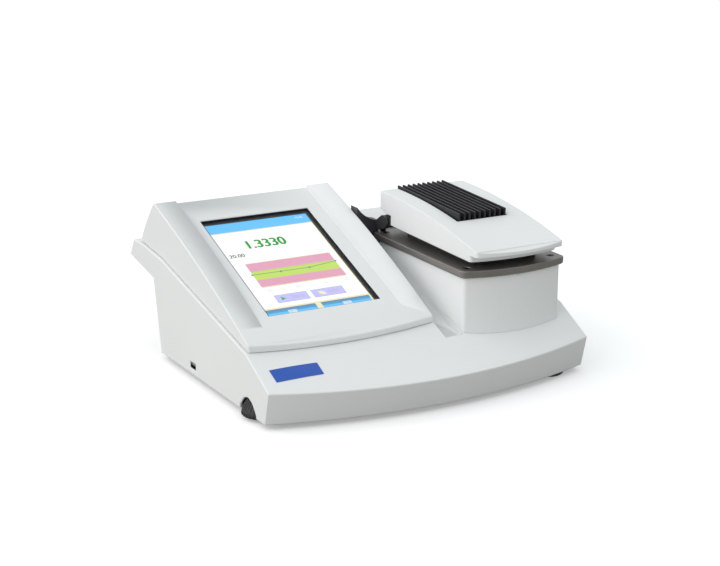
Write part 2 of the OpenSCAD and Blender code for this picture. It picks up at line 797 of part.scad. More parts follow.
module plate_screws() {
    color(steel) on_bench() for (p = plate_screw_places) translate([p[0], p[1], plate_top - 4.4]) {
        difference() {
            cylinder(r = 3.6, h = 4, $fn = 32);
            translate([0, 0, 1.6]) cylinder(r = 1.7, h = 4, $fn = 6);
        }
        translate([0, 0, -14]) cylinder(r = 2, h = 14, $fn = 20);
    }
}

// Prism seat: steel dish with a wide shallow well and a square window for the prism
prism_d = prism_w + 4;
module prism_seat() {
    color([0.80, 0.81, 0.82]) on_bench() translate([head_x, prism_y, 0]) difference() {
        rotate_extrude($fn = 64) polygon([
            [0, plate_z - 6], [seat_r, plate_z - 6], [seat_r, seat_top - 0.6], [seat_r - 0.6, seat_top],
            [seat_r - 2.4, seat_top], [seat_r - 4.4, well_z + 0.2], [0, well_z]
        ]);
        translate([0, 0, plate_z - 8]) linear_extrude(20)
            square([prism_w + 2 * fit, prism_d + 2 * fit], center = true);
    }
}

module prism() {
    color([0.75, 0.85, 0.9, 0.5]) on_bench() translate([head_x - prism_w / 2, prism_y, well_z - 12.4])
        rotate([90, 0, 90]) linear_extrude(prism_w)
            polygon([[-prism_d / 2 + 6, 0], [prism_d / 2 - 6, 0], [prism_d / 2, 7], [prism_d / 2, 12.2],
                     [-prism_d / 2, 12.2], [-prism_d / 2, 7]]);
}

peltier_z = plate_z - 6 - touch_gap - peltier_t;
module peltier_modules() {
    color([0.9, 0.9, 0.88]) on_bench() for (s = [-1, 1])
        translate([head_x + s * 20 - 9, prism_y - 20, peltier_z]) {
            cube([18, 40, 0.8]);
            translate([0, 0, peltier_t - 0.8]) cube([18, 40, 0.8]);
            translate([0.8, 0.8, 0.8]) cube([16.4, 38.4, peltier_t - 1.6]);
        }
}

cell_sink_z = peltier_z - touch_gap;
module head_heat_sink() {
    color([0.7, 0.71, 0.72]) on_bench() translate([head_x - 36, prism_y - 40, cell_sink_z - 6]) difference() {
        union() {
            cube([72, 96, 6]);
            for (i = [0:6]) {
                translate([i * 3, 0, -14]) cube([1.4, 96, 14]);
                translate([72 - 1.4 - i * 3, 0, -14]) cube([1.4, 96, 14]);
            }
            // Flanges under the sample plate
            for (y = [-6, 90]) translate([0, y, 0]) cube([72, 12, 6]);
        }
        translate([36 - 9, 40 - 13, -1]) cube([18, 26, 8]);
    }
}

// Optics: body with two arms at 45 degrees below the prism
module optics_arm(s) {
    translate([head_x, prism_y, cell_sink_z - 2]) rotate([s * 50, 0, 0]) translate([0, 0, -52]) children();
}

module optics_block() {
    color([0.25, 0.25, 0.27]) on_bench() difference() {
        union() {
            for (s = [-1, 1]) optics_arm(s) cylinder(r = 8, h = 36);
            for (s = [-1, 1]) translate([head_x - 6, prism_y + s * 31 - 3, cell_sink_z - 40])
                cube([12, 6, 34 - touch_gap]);
            translate([head_x - 8, prism_y - 30, cell_sink_z - 46]) cube([16, 60, 24]);
            translate([head_x - 20, prism_y - 30, cell_sink_z - 46]) cube([40, 60, 4]);
        }
        for (s = [-1, 1]) optics_arm(s) translate([0, 0, -1]) cylinder(r = 5, h = 60);
    }
}

module led_source() {
    color([0.95, 0.85, 0.4]) on_bench() optics_arm(-1) {
        translate([0, 0, -8]) cylinder(r = 8, h = 7.7);
        translate([0, 0, -0.4]) cylinder(r = 3, h = 6);
        translate([0, 0, -10]) cylinder(r = 11, h = 2.1);
    }
}

module condenser_lens() {
    color([0.8, 0.9, 0.95, 0.5]) on_bench() optics_arm(-1) translate([0, 0, 14]) rotate_extrude() intersection() {
        translate([0, -13]) circle(r = 15.6, $fn = 64);
        square([5 - fit, 4]);
    }
}

module imaging_lens() {
    color([0.8, 0.9, 0.95, 0.5]) on_bench() optics_arm(1) translate([0, 0, 24]) rotate_extrude() intersection() {
        translate([0, -13]) circle(r = 15.6, $fn = 64);
        square([5 - fit, 4]);
    }
}

module line_sensor() {
    color(board_green) on_bench() optics_arm(1) {
        translate([-12, -15, -3.6]) cube([24, 30, 1.6]);
        translate([-4.5, -12, -2]) cube([9, 24, 1.7]);
    }
}

// Fan at the rear of the head, axis along y, over the bottom plate's slots
fan_y = prism_y + 62 + touch_gap;
fan_z = cell_sink_z - 14;
fan_box = 2 * fan_r + 6;
module fan_frame() {
    color(cowl_grey) on_bench() translate([head_x, fan_y, fan_z]) rotate([-90, 0, 0]) {
        difference() {
            translate([-fan_box / 2, -fan_box / 2, 0]) cube([fan_box, fan_box, 12]);
            translate([0, 0, -1]) cylinder(r = fan_r + 0.8, h = 14, $fn = 64);
            for (sx = [-1, 1], sy = [-1, 1]) translate([sx * (fan_box / 2 - 3), sy * (fan_box / 2 - 3), -1])
                cylinder(r = 1.6, h = 14, $fn = 24);
        }
        difference() {
            union() {
                cylinder(r = 6, h = 1.6);
                for (a = [0:90:270]) rotate([0, 0, a]) translate([5, -1, 0]) cube([fan_r - 3.6, 2, 1.6]);
                cylinder(r = 2.6, h = 8);
            }
            translate([0, 0, 2]) cylinder(r = 1 + fit, h = 8, $fn = 24);
        }
    }
}

module fan_rotor() {
    color(rubber_black) on_bench() translate([head_x, fan_y, fan_z]) rotate([-90, 0, 0]) {
        translate([0, 0, 2.2]) cylinder(r = 1, h = 8, $fn = 24);
        difference() {
            translate([0, 0, 2.2]) cylinder(r = 7.5, h = 9);
            translate([0, 0, 2]) cylinder(r = 3.2, h = 7);
        }
        for (i = [0:fan_blades - 1]) rotate([0, 0, i * 360 / fan_blades]) translate([7, 0, 6.8])
            rotate([38, 0, 0]) cube([fan_r - 7, 1.1, 9], center = false);
    }
}

// Dark cowl behind the sample plate: fairing whose rim climbs to the console, cheeks that hide the hinge
// ears, skirt beside the head and low trough behind the lid
cowl_y0 = plate_rear_y + 2.3;
cowl_x0 = console_x1 + 0.6;
cowl_x1 = head_x + head_w / 2;
cowl_gap = 1.2;
cowl_left = head_x - lid_w / 2 - cowl_gap;
cowl_right = head_x + lid_w / 2 + cowl_gap;
cowl_rim = hinge_z - 1.5;
cowl_climb = 17.5;
cowl_turn = cowl_left + 5;
cowl_sweep = (pow(cowl_turn - cowl_x0, 2) + cowl_climb * cowl_climb) / (2 * cowl_climb);
cowl_top_d = 14;
cowl_wall = 3;
cowl_lap = 1;
trough_z = plate_top - 4.5;
trough_d = knee_y - cowl_y0 - 1;

// Side section of the fairing, moved inward by t and raised far past its rim
module cowl_section(t = 0) {
    polygon([
        [cowl_y0 + t, base_top(cowl_y0) + touch_gap - 3 * t], [cowl_y0 + t, cowl_rim + 20],
        [cowl_y0 + cowl_top_d - t, cowl_rim + 20], [cowl_y0 + cowl_top_d - t, cowl_rim - 6],
        [cowl_y0 + trough_d - 12 - t, base_top(cowl_y0 + trough_d - 12) + touch_gap + 4],
        [cowl_y0 + trough_d - 12 - t, base_top(cowl_y0 + trough_d - 12) + touch_gap - 3 * t]
    ]);
}

// Front outline of the fairing: level near the lid, then an arc that climbs to the console's flank
module cowl_outline(x0, x1, t = 0) {
    difference() {
        translate([x0 + t, 60]) square([x1 - x0 - 2 * t, 120]);
        translate([cowl_turn, cowl_rim + cowl_sweep - t]) circle(cowl_sweep, $fn = 120);
        translate([cowl_turn, cowl_rim - t]) square([200, 80]);
    }
}

module cowl_fairing(x0, x1, t = 0) {
    intersection() {
        side_extrude(x0 - 1, x1 + 1) cowl_section(t);
        translate([0, 400, 0]) rotate([90, 0, 0]) linear_extrude(400) cowl_outline(x0, x1, t);
    }
}

// Cheek that reaches forward from the fairing and rounds over the end of the hinge
module cowl_cheek(x0) {
    side_extrude(x0, x0 + cowl_wall) {
        translate([hinge_y, hinge_z]) circle(r = ear_r);
        polygon([
            [hinge_y - ear_r * cos(65), hinge_z - ear_r * sin(65)], [plate_rear_y + 0.8, plate_top + 1],
            [cowl_y0 + cowl_lap, plate_top + 1], [cowl_y0 + cowl_lap, cowl_rim],
            [hinge_y + ear_r * cos(60), hinge_z + ear_r * sin(60)]
        ]);
    }
}

// Skirt under the plate that closes the channel beside the head
skirt_y0 = plate_rear_y - 11;
module cowl_skirt() {
    side_extrude(cowl_x0 + cowl_lap, valley_x1 - touch_gap) polygon([
        [skirt_y0, valley_floor(skirt_y0) + 2 * touch_gap],
        [plate_rear_y, base_top(plate_rear_y) + 2 * touch_gap],
        [cowl_y0 + cowl_lap, base_top(cowl_y0 + cowl_lap) + 2 * touch_gap],
        [cowl_y0 + cowl_lap, plate_z - touch_gap], [skirt_y0, plate_z - touch_gap]
    ]);
}

module hinge_cowl() {
    color(cowl_grey) on_bench() {
        cowl_cheek(cowl_left - cowl_wall);
        cowl_cheek(cowl_right);
        cowl_skirt();
        difference() {
            union() {
                cowl_fairing(cowl_x0, cowl_left);
                // Rim that stands a little proud of the face
                translate([0, cowl_y0 + 4, 0]) rotate([90, 0, 0]) linear_extrude(5) difference() {
                    cowl_outline(cowl_x0, cowl_left);
                    translate([0, -2.2]) cowl_outline(cowl_x0 - 3, cowl_left + 3);
                }
            }
            cowl_fairing(cowl_x0, cowl_left, cowl_wall);
        }
        cowl_fairing(cowl_right, cowl_x1);
        // Trough under the lid's swing
        side_extrude(cowl_left - cowl_lap, cowl_right + cowl_lap) polygon([
            [cowl_y0, base_top(cowl_y0) + 2 * touch_gap], [cowl_y0, trough_z - 4],
            [cowl_y0 + 26, trough_z - 4], [cowl_y0 + trough_d, base_top(cowl_y0 + trough_d) + 3],
            [cowl_y0 + trough_d, base_top(cowl_y0 + trough_d) + 2 * touch_gap],
            [cowl_y0 + 30, base_top(cowl_y0 + 30) + 2 * touch_gap]
        ]);
    }
}

// Hinge bracket: strip on the trough with two ears that carry the bushes
bracket_top = trough_z - 4 + touch_gap;
module ear_profile() {
    translate([hinge_y, hinge_z]) circle(r = ear_r);
    polygon([
        [hinge_y - ear_r * 0.9, hinge_z - ear_r * 0.42], [hinge_y, hinge_z - ear_r],
        [plate_rear_y + 0.8, plate_top + 1], [plate_rear_y + 0.8, bracket_top], [plate_rear_y + 24, bracket_top],
        [plate_rear_y + 24, bracket_top + 4], [plate_rear_y + 3.6, bracket_top + 4],
        [plate_rear_y + 0.4, plate_top + 3], [hinge_y + ear_r, hinge_z]
    ]);
}

module hinge_bracket() {
    color(cowl_grey) on_bench() difference() {
        union() {
            for (x = [head_x - ear_x - ear_w, head_x + ear_x])
                side_extrude(x, x + ear_w) ear_profile();
            translate([head_x - ear_x - ear_w, plate_rear_y + 4, bracket_top])
                cube([2 * ear_x + 2 * ear_w, 18, 4]);
        }
        translate([head_x - 80, hinge_y, hinge_z]) rotate([0, 90, 0]) cylinder(r = shaft_r + 1.5, h = 160);
    }
}

module hinge_bushes() {
    color([0.75, 0.6, 0.3]) on_bench() for (x = [head_x - ear_x - ear_w, head_x + ear_x])
        translate([x, hinge_y, hinge_z]) rotate([0, 90, 0]) difference() {
            cylinder(r = shaft_r + 1.5, h = ear_w);
            translate([0, 0, -1]) cylinder(r = shaft_r + fit, h = ear_w + 2);
        }
}

module hinge_shaft() {
    color(steel) on_bench() translate([head_x - ear_x - ear_w, hinge_y, hinge_z]) rotate([0, 90, 0])
        cylinder(r = shaft_r, h = 2 * ear_x + 2 * ear_w);
}

module lid_hinge_block() {
    color(steel) on_bench() difference() {
        side_extrude(head_x - ear_x + 0.5, head_x + ear_x - 0.5) polygon([
            [notch_y + touch_gap, lid_low_rear_z - 2.4], [hinge_y - 3, hinge_z - 7.2],
            [hinge_y + 4, hinge_z - 7.2], [hinge_y + 7.5, hinge_z - 3], [hinge_y + 7.5, notch_z - touch_gap],
            [notch_y + touch_gap, notch_z - touch_gap]
        ]);
        translate([head_x - 80, hinge_y, hinge_z]) rotate([0, 90, 0]) cylinder(r = shaft_r, h = 160);
    }
}

// Lid: curved top, bowed front lip over a stepped-in lower body, rear underside cut away for the hinge
lid_line = arc_points([lid_rear_y, lid_rear_z], [lid_front_y, lid_front_z], -lid_bulge, 20);
lip_under = lid_front_z - lid_lip;
lid_reach = lid_front_y - lid_rise - 1;
lid_corner = 4;
lid_fall = (lid_front_z - lid_line[18][1]) / (lid_front_y - lid_line[18][0]);
module lid_upper_profile() {
    polygon(concat(
        [[lid_reach, lip_under - 0.12 * (lid_front_y - lid_reach)], [notch_y, lip_under]],
        [[notch_y, notch_z], [hinge_y - 0.5, notch_z], [lid_rear_y, notch_z + 4]],
        lid_line,
        [[lid_reach, lid_front_z - 0.3 * (lid_front_y - lid_reach)]]
    ));
}

module lid_lower_profile(t = 0) {
    polygon([[lid_front_y - 4, lid_low_z - 0.2 - t], [notch_y - t, lid_low_rear_z - t],
             [notch_y - t, lip_under + 1 + 1.5 * t], [lid_front_y - 4, lip_under + 1 + 1.5 * t]]);
}

module lid_form(t = 0) {
    intersection() {
        side_extrude(head_x - lid_w / 2 + t, head_x + lid_w / 2 - t) offset(delta = -t) lid_upper_profile();
        linear_extrude(300) translate([head_x, 0]) bow_plan(lid_w - 2 * t, lid_front_y + t, lid_rise, 260, lid_corner - t);
    }
    intersection() {
        side_extrude(head_x - lid_w / 2 + t, head_x + lid_w / 2 - t) lid_lower_profile(t);
        linear_extrude(300) translate([head_x, 0])
            bow_plan(lid_w - 2 * t, lid_front_y + lid_step + t, lid_rise, 260, lid_corner - t);
    }
}

// Frame of the lid's heat sink: y along the fins, z up from the underside of its base
sink_base = 3;
sink_edge = 1.5;
sink_len = (sink_y1 - sink_y0) / cos(sink_tilt);
module on_sink() {
    translate([head_x, sink_y0, sink_z0]) rotate([sink_tilt, 0, 0]) translate([0, 0, -fin_h - sink_base]) children();
}

module lid_shell() {
    color(shell_white) on_bench() difference() {
        lid_form();
        difference() {
            lid_form(lid_wall);
            for (p = lid_screw_places) difference() {
                translate([p[0], p[1], lid_floor_z + 0.1]) cylinder(r = 4, h = 60);
                translate([p[0], p[1], lid_floor_z]) cylinder(r = 1.5 + fit, h = 8);
            }
            // Deck of the pocket under the heat sink
            on_sink() translate([-sink_w / 2 - 6, -6, -lid_wall]) cube([sink_w + 12, sink_len + 20, 60]);
        }
        // Inside below the pocket's deck
        on_sink() translate([-sink_w / 2 + 8, 10, -40]) cube([sink_w - 16, sink_len - 40, 60]);
        // Pocket that the heat sink lies in, open at the rear
        on_sink() translate([-sink_w / 2 - sink_edge - touch_gap, -touch_gap, -0.1])
            cube([sink_w + 2 * sink_edge + 2 * touch_gap, sink_len + 20, 60]);
    }
}

floor_y0 = lid_front_y + lid_step + lid_wall + 1;
lid_floor_z = lid_low_rear_z + 0.4;
lid_screw_places = [for (sx = [-1, 1], y = [34, notch_y - 12]) [head_x + sx * (lid_w / 2 - 10), y]];
module lid_floor() {
    color(cowl_grey) on_bench() difference() {
        translate([head_x - lid_w / 2 + lid_wall + touch_gap, floor_y0, lid_floor_z - 2])
            cube([lid_w - 2 * lid_wall - 2 * touch_gap, notch_y - lid_wall - touch_gap - floor_y0, 2]);
        translate([head_x, prism_y, 100]) cylinder(r = 7.2, h = 60);
        for (p = lid_screw_places) translate([p[0], p[1], 100]) cylinder(r = 1.7, h = 60);
    }
}

module lid_screws() {
    color(steel) on_bench() for (p = lid_screw_places) translate([p[0], p[1], lid_floor_z - 2 - touch_gap]) {
        translate([0, 0, -1.6]) cylinder(r = 3, h = 1.6, $fn = 24);
        cylinder(r = 1.5, h = 8, $fn = 16);
    }
}

seal_wall = 4;
module light_seal() {
    z0 = plate_top + seal_gap;
    color(rubber_black) on_bench() translate([head_x, (30 + notch_y - 8) / 2, z0])
        linear_extrude(lid_floor_z - 2 - touch_gap - z0) difference() {
            round_rect(lid_w - 26, notch_y - 8 - 30, 10);
            round_rect(lid_w - 26 - 2 * seal_wall, notch_y - 8 - 30 - 2 * seal_wall, 6);
        }
}

module lid_heat_sink() {
    pitch = (sink_w - fin_t) / (fins - 1);
    color(sink_black) on_bench() on_sink() {
        translate([-sink_w / 2 - sink_edge, 0, 0]) cube([sink_w + 2 * sink_edge, sink_len, sink_base]);
        for (i = [0:fins - 1])
            translate([-sink_w / 2 + i * pitch, 0, sink_base - eps]) cube([fin_t, sink_len, fin_h + eps]);
    }
}

module lid_peltier() {
    color([0.9, 0.9, 0.88]) on_bench() on_sink() translate([-15, prism_y - sink_y0 - 2, -touch_gap - peltier_t])
        cube([30, 30, peltier_t]);
}

guide_z0 = lid_floor_z - 2;
guide_h = 11;
module presser_guide() {
    color([0.75, 0.6, 0.3]) on_bench() translate([head_x, prism_y, guide_z0]) difference() {
        union() {
            cylinder(r = 7.1, h = guide_h);
            translate([0, 0, 2 + touch_gap]) cylinder(r = 11, h = 2);
        }
        translate([0, 0, -1]) cylinder(r = 3 + fit, h = guide_h + 2);
    }
}

presser_low = well_z + 0.6;
spring_solid = 4.2;
hub_top = guide_z0 - spring_solid - presser_travel;
module presser_plate() {
    stem_top = guide_z0 + guide_h + touch_gap;
    color(steel) on_bench() translate([head_x, prism_y, 0]) {
        translate([0, 0, presser_low]) cylinder(r = presser_r - 1.4, h = 3);
        translate([0, 0, presser_low + 3 - eps]) cylinder(r = 9, h = hub_top - presser_low - 3 + eps);
        translate([0, 0, hub_top - 1]) cylinder(r = 3, h = stem_top - hub_top + 1);
        translate([0, 0, stem_top]) cylinder(r = 5, h = 1.6);
    }
}

// Spring between the presser's hub and the guide: one helix of round wire
spring_r = 5.6;
wire_r = 0.5;
spring_turns = 2.5;
module presser_spring() {
    z0 = hub_top + wire_r;
    rise = guide_z0 - z0 - wire_r - 0.1;
    steps = round(spring_turns * 16);
    sides = 8;
    points = [
        for (i = [0:steps], j = [0:sides - 1])
            let (
                a = 360 * spring_turns * i / steps,
                b = 360 * j / sides,
                r = spring_r + wire_r * cos(b)
            )
            [r * cos(a), r * sin(a), z0 + rise * i / steps + wire_r * sin(b)]
    ];
    faces = concat(
        [[for (j = [0:sides - 1]) j]],
        [for (i = [0:steps - 1], j = [0:sides - 1])
            let (k = i * sides, m = (j + 1) % sides)
            [k + j, k + sides + j, k + sides + m, k + m]],
        [[for (j = [sides - 1:-1:0]) steps * sides + j]]
    );
    color(steel) on_bench() translate([head_x, prism_y, 0]) polyhedron(points, faces, convexity = 6);
}

base_housing();
bottom_plate();
bottom_screws();
fixed_feet();
levelling_bracket();
levelling_wheel();
levelling_stud();
levelling_pad();
side_usb_port();
power_inlet();
switch_frame();
power_rocker();
serial_port();
network_port();
rear_usb_ports();
power_supply();
console_shell();
display_frame();
touch_glass();
lcd_module();
display_bracket();
display_screws();
main_board();
head_housing();
sample_plate();
plate_screws();
prism_seat();
prism();
peltier_modules();
head_heat_sink();
optics_block();
led_source();
condenser_lens();
imaging_lens();
line_sensor();
fan_frame();
fan_rotor();
hinge_cowl();
hinge_bracket();
hinge_bushes();
hinge_shaft();
lid_hinge_block();
lid_shell();
lid_floor();
light_seal();
lid_heat_sink();
lid_peltier();
lid_screws();
presser_guide();
presser_plate();
presser_spring();
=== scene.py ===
import math

import bmesh
import bpy
from mathutils import Matrix, Quaternion, Vector
from mathutils.bvhtree import BVHTree


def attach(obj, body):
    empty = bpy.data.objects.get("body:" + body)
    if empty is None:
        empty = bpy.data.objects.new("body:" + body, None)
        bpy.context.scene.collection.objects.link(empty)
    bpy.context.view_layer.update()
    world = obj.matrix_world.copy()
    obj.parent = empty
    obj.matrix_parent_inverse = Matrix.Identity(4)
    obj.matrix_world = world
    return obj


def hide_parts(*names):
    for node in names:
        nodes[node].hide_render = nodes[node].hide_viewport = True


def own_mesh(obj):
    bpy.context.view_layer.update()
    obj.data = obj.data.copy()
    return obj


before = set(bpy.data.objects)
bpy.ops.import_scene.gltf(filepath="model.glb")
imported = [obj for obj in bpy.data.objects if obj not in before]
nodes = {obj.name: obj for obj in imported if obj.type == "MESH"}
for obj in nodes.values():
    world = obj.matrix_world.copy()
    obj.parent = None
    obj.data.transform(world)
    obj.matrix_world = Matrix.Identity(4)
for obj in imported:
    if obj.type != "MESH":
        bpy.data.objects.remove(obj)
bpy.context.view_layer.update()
MM = 0.001

# Studio: the instrument stands on a pale floor in an evenly lit room, with a broad warm light from
# its left and a faint one from above, seen with a long lens from the left and a little above.
EYE = Vector((-0.89274, -1.57532, 0.61537))
AIM = Vector((-0.01609, -0.0275, 0.09584))
LENS_MM = 87.03
ROLL = math.radians(0.275)
WALL_WHITE = 1.0
ROOM_LIGHT = 0.75
FLOOR_LIFT = 0.3
FLOOR_RADIUS, FLOOR_SIDES = 14, 64
FLOOR_BOUNCE = (0.42, 0.415, 0.38)


def shown(piece):
    bpy.context.scene.collection.objects.link(piece)
    return piece


def make_camera():
    camera = shown(bpy.data.objects.new("camera", bpy.data.cameras.new("camera")))
    camera.location = EYE
    camera.rotation_mode = "QUATERNION"
    camera.rotation_quaternion = (AIM - EYE).to_track_quat("-Z", "Y") @ Quaternion((0, 0, 1), ROLL)
    camera.data.lens = LENS_MM
    camera.data.sensor_width = 36.0
    camera.data.clip_start, camera.data.clip_end = 0.05, 60.0
    bpy.context.scene.camera = camera


def make_sun(name, towards, strength, colour, spread):
    sun = shown(bpy.data.objects.new(name, bpy.data.lights.new(name, "SUN")))
    sun.rotation_mode = "QUATERNION"
    sun.rotation_quaternion = Vector(towards).to_track_quat("-Z", "Y")
    sun.data.energy = strength * math.pi
    sun.data.color = colour
    sun.data.angle = math.radians(spread)


def make_room():
    world = bpy.data.worlds.new("room")
    bpy.context.scene.world = world
    world.use_nodes = True
    tree = world.node_tree
    light = tree.nodes["Background"]
    light.inputs["Color"].default_value = (0.935, 0.98, 1.0, 1)
    light.inputs["Strength"].default_value = ROOM_LIGHT
    wall = tree.nodes.new("ShaderNodeBackground")
    wall.inputs["Strength"].default_value = WALL_WHITE
    seen = tree.nodes.new("ShaderNodeLightPath")
    both = tree.nodes.new("ShaderNodeMixShader")
    tree.links.new(seen.outputs["Is Camera Ray"], both.inputs[0])
    tree.links.new(light.outputs[0], both.inputs[1])
    tree.links.new(wall.outputs[0], both.inputs[2])
    tree.links.new(both.outputs[0], tree.nodes["World Output"].inputs["Surface"])


def make_floor():
    mesh = bpy.data.meshes.new("floor")
    angles = [math.tau * i / FLOOR_SIDES for i in range(FLOOR_SIDES)]
    rim = [(FLOOR_RADIUS * math.cos(a), FLOOR_RADIUS * math.sin(a), 0) for a in angles]
    mesh.from_pydata(rim, [], [tuple(range(FLOOR_SIDES))])
    paint = bpy.data.materials.new("floor_paint")
    paint.use_nodes = True
    tree = paint.node_tree
    bright = tree.nodes["Principled BSDF"]
    bright.inputs["Base Color"].default_value = (0.8, 0.8, 0.8, 1)
    bright.inputs["Roughness"].default_value = 0.9
    bright.inputs["Specular IOR Level"].default_value = 0.0
    bright.inputs["Emission Color"].default_value = (1, 1, 1, 1)
    bright.inputs["Emission Strength"].default_value = FLOOR_LIFT
    dull = tree.nodes.new("ShaderNodeBsdfDiffuse")
    dull.inputs["Color"].default_value = (*FLOOR_BOUNCE, 1)
    seen = tree.nodes.new("ShaderNodeLightPath")
    both = tree.nodes.new("ShaderNodeMixShader")
    tree.links.new(seen.outputs["Is Camera Ray"], both.inputs[0])
    tree.links.new(dull.outputs[0], both.inputs[1])
    tree.links.new(bright.outputs[0], both.inputs[2])
    tree.links.new(both.outputs[0], tree.nodes["Material Output"].inputs["Surface"])
    mesh.materials.append(paint)
    shown(bpy.data.objects.new("floor", mesh))


make_camera()
make_sun("light_above", towards=(0.05, -0.28, -1.0), strength=0.04, colour=(0.975, 0.992, 1.0),
         spread=120)
make_sun("light_left", towards=(0.88, -0.09, -0.44), strength=0.56, colour=(1.0, 0.985, 0.955),
         spread=90)
make_room()
make_floor()
bpy.context.scene.view_settings.view_transform = "Standard"

# Base housing: white injection-moulded shell with a bowed sloping deck, a raised rear ledge and a
# fine spark-eroded grain; the tool leaves every outer corner with a small radius.
SHELL_WHITE = (0.775, 0.785, 0.785)
BASE_CORNER = 1.4 * MM
MERGE_GAP = 0.02 * MM
FLAT_ANGLE, CORNER_ANGLE = math.radians(0.5), math.radians(24)
PROBE_LIFT = 0.2 * MM


def surface(name, colour, rough, metal=0.0, mottle=(40, 0.03), grain=(900, 0.05), streak=(1, 1, 1),
            rough_vary=0.06, worn=None, coat=0.0, ior=1.5, sheen=0.0):
    """A finish whose colour drifts a little, with a grain that moves its gloss and its surface.

    mottle is (scale, share of colour), grain is (scale, depth in mm), worn is (bare colour, from
    which sharpness of edge)."""
    material = bpy.data.materials.new(name)
    material.use_nodes = True
    tree = material.node_tree
    shader = tree.nodes["Principled BSDF"]
    add, link = tree.nodes.new, tree.links.new
    place = add("ShaderNodeTexCoord")
    turn = add("ShaderNodeMapping")
    turn.inputs["Scale"].default_value = streak
    link(place.outputs["Object"], turn.inputs["Vector"])
    drift = add("ShaderNodeTexNoise")
    drift.inputs["Scale"].default_value = mottle[0]
    drift.inputs["Detail"].default_value = 4
    link(turn.outputs["Vector"], drift.inputs["Vector"])
    ramp = add("ShaderNodeValToRGB")
    ramp.color_ramp.elements[0].position, ramp.color_ramp.elements[1].position = 0.3, 0.7
    for element, share in zip(ramp.color_ramp.elements, (1 - mottle[1], 1 + mottle[1])):
        element.color = (*(min(c * share, 1) for c in colour), 1)
    link(drift.outputs["Fac"], ramp.inputs["Fac"])
    paint = ramp.outputs["Color"]
    fine = add("ShaderNodeTexNoise")
    fine.inputs["Scale"].default_value = grain[0]
    fine.inputs["Detail"].default_value = 3
    link(turn.outputs["Vector"], fine.inputs["Vector"])
    if worn:
        edge = add("ShaderNodeNewGeometry")
        rub = add("ShaderNodeMapRange")
        rub.inputs["From Min"].default_value = worn[1]
        rub.inputs["From Max"].default_value = worn[1] + 0.08
        link(edge.outputs["Pointiness"], rub.inputs["Value"])
        patch = add("ShaderNodeMath")
        patch.operation = "MULTIPLY"
        link(rub.outputs["Result"], patch.inputs[0])
        link(drift.outputs["Fac"], patch.inputs[1])
        bare = add("ShaderNodeMix")
        bare.data_type = "RGBA"
        bare.inputs[7].default_value = (*worn[0], 1)
        link(patch.outputs[0], bare.inputs[0])
        link(paint, bare.inputs[6])
        paint = bare.outputs[2]
    link(paint, shader.inputs["Base Color"])
    gloss = add("ShaderNodeMapRange")
    gloss.inputs["To Min"].default_value = max(rough - rough_vary, 0.02)
    gloss.inputs["To Max"].default_value = min(rough + rough_vary, 1)
    link(fine.outputs["Fac"], gloss.inputs["Value"])
    link(gloss.outputs["Result"], shader.inputs["Roughness"])
    bump = add("ShaderNodeBump")
    bump.inputs["Strength"].default_value = 0.6
    bump.inputs["Distance"].default_value = grain[1] * MM
    link(fine.outputs["Fac"], bump.inputs["Height"])
    link(bump.outputs["Normal"], shader.inputs["Normal"])
    shader.inputs["Metallic"].default_value = metal
    shader.inputs["IOR"].default_value = ior
    shader.inputs["Coat Weight"].default_value = coat
    shader.inputs["Sheen Weight"].default_value = sheen
    return material


def painted(piece, material):
    piece.data.materials.clear()
    piece.data.materials.append(material)
    return piece


def piece_from(bm, name):
    """Turns the drawn shape into a piece in the scene."""
    mesh = bpy.data.meshes.new(name)
    bm.to_mesh(mesh)
    bm.free()
    return shown(bpy.data.objects.new(name, mesh))


def finished_mesh(piece, crease=32):
    """Applies the piece's modifiers, shades it smooth and keeps its creases."""
    depsgraph = bpy.context.evaluated_depsgraph_get()
    mesh = bpy.data.meshes.new_from_object(piece.evaluated_get(depsgraph))
    piece.modifiers.clear()
    piece.data = mesh
    mesh.polygons.foreach_set("use_smooth", [True] * len(mesh.polygons))
    mesh.set_sharp_from_angle(angle=math.radians(crease))
    return piece


def softened(node, name, corner, segments=3):
    """The node's own shape with its outer corners rounded, as the moulding tool leaves them.

    corner is the radius, or a function that gives it for the middle of an edge; 0 stays sharp."""
    radius = corner if callable(corner) else lambda middle: corner
    bm = bmesh.new()
    bm.from_mesh(nodes[node].data)
    bmesh.ops.remove_doubles(bm, verts=bm.verts, dist=MERGE_GAP)
    bmesh.ops.dissolve_limit(bm, angle_limit=FLAT_ANGLE, verts=bm.verts, edges=bm.edges)
    bm.normal_update()
    solid = BVHTree.FromBMesh(bm)
    layers = bm.edges.layers.float
    weight = layers.get("bevel_weight_edge") or layers.new("bevel_weight_edge")
    bm.edges.ensure_lookup_table()
    bm.edges.index_update()
    sizes = {}
    for edge in bm.edges:
        if len(edge.link_faces) != 2 or not edge.is_convex:
            continue
        if edge.calc_face_angle(0) < CORNER_ANGLE:
            continue
        middle = (edge.verts[0].co + edge.verts[1].co) / 2
        outward = (edge.link_faces[0].normal + edge.link_faces[1].normal).normalized()
        open_to_view = solid.ray_cast(middle + outward * PROBE_LIFT, outward)[0] is None
        if open_to_view and radius(middle) > 0:
            sizes[edge.index] = radius(middle)
    widest = max(sizes.values())
    for index, size in sizes.items():
        bm.edges[index][weight] = size / widest
    piece = piece_from(bm, name)
    attributes = piece.data.attributes
    if "custom_normal" in attributes:
        attributes.remove(attributes["custom_normal"])
    bevel = piece.modifiers.new("corners", "BEVEL")
    bevel.width = widest
    bevel.segments = segments
    bevel.limit_method = "WEIGHT"
    bevel.use_clamp_overlap = False
    bevel.miter_outer = "MITER_ARC"
    finished_mesh(piece)
    level = piece.modifiers.new("flats", "WEIGHTED_NORMAL")
    level.keep_sharp = True
    level.weight = 60
    return finished_mesh(piece)


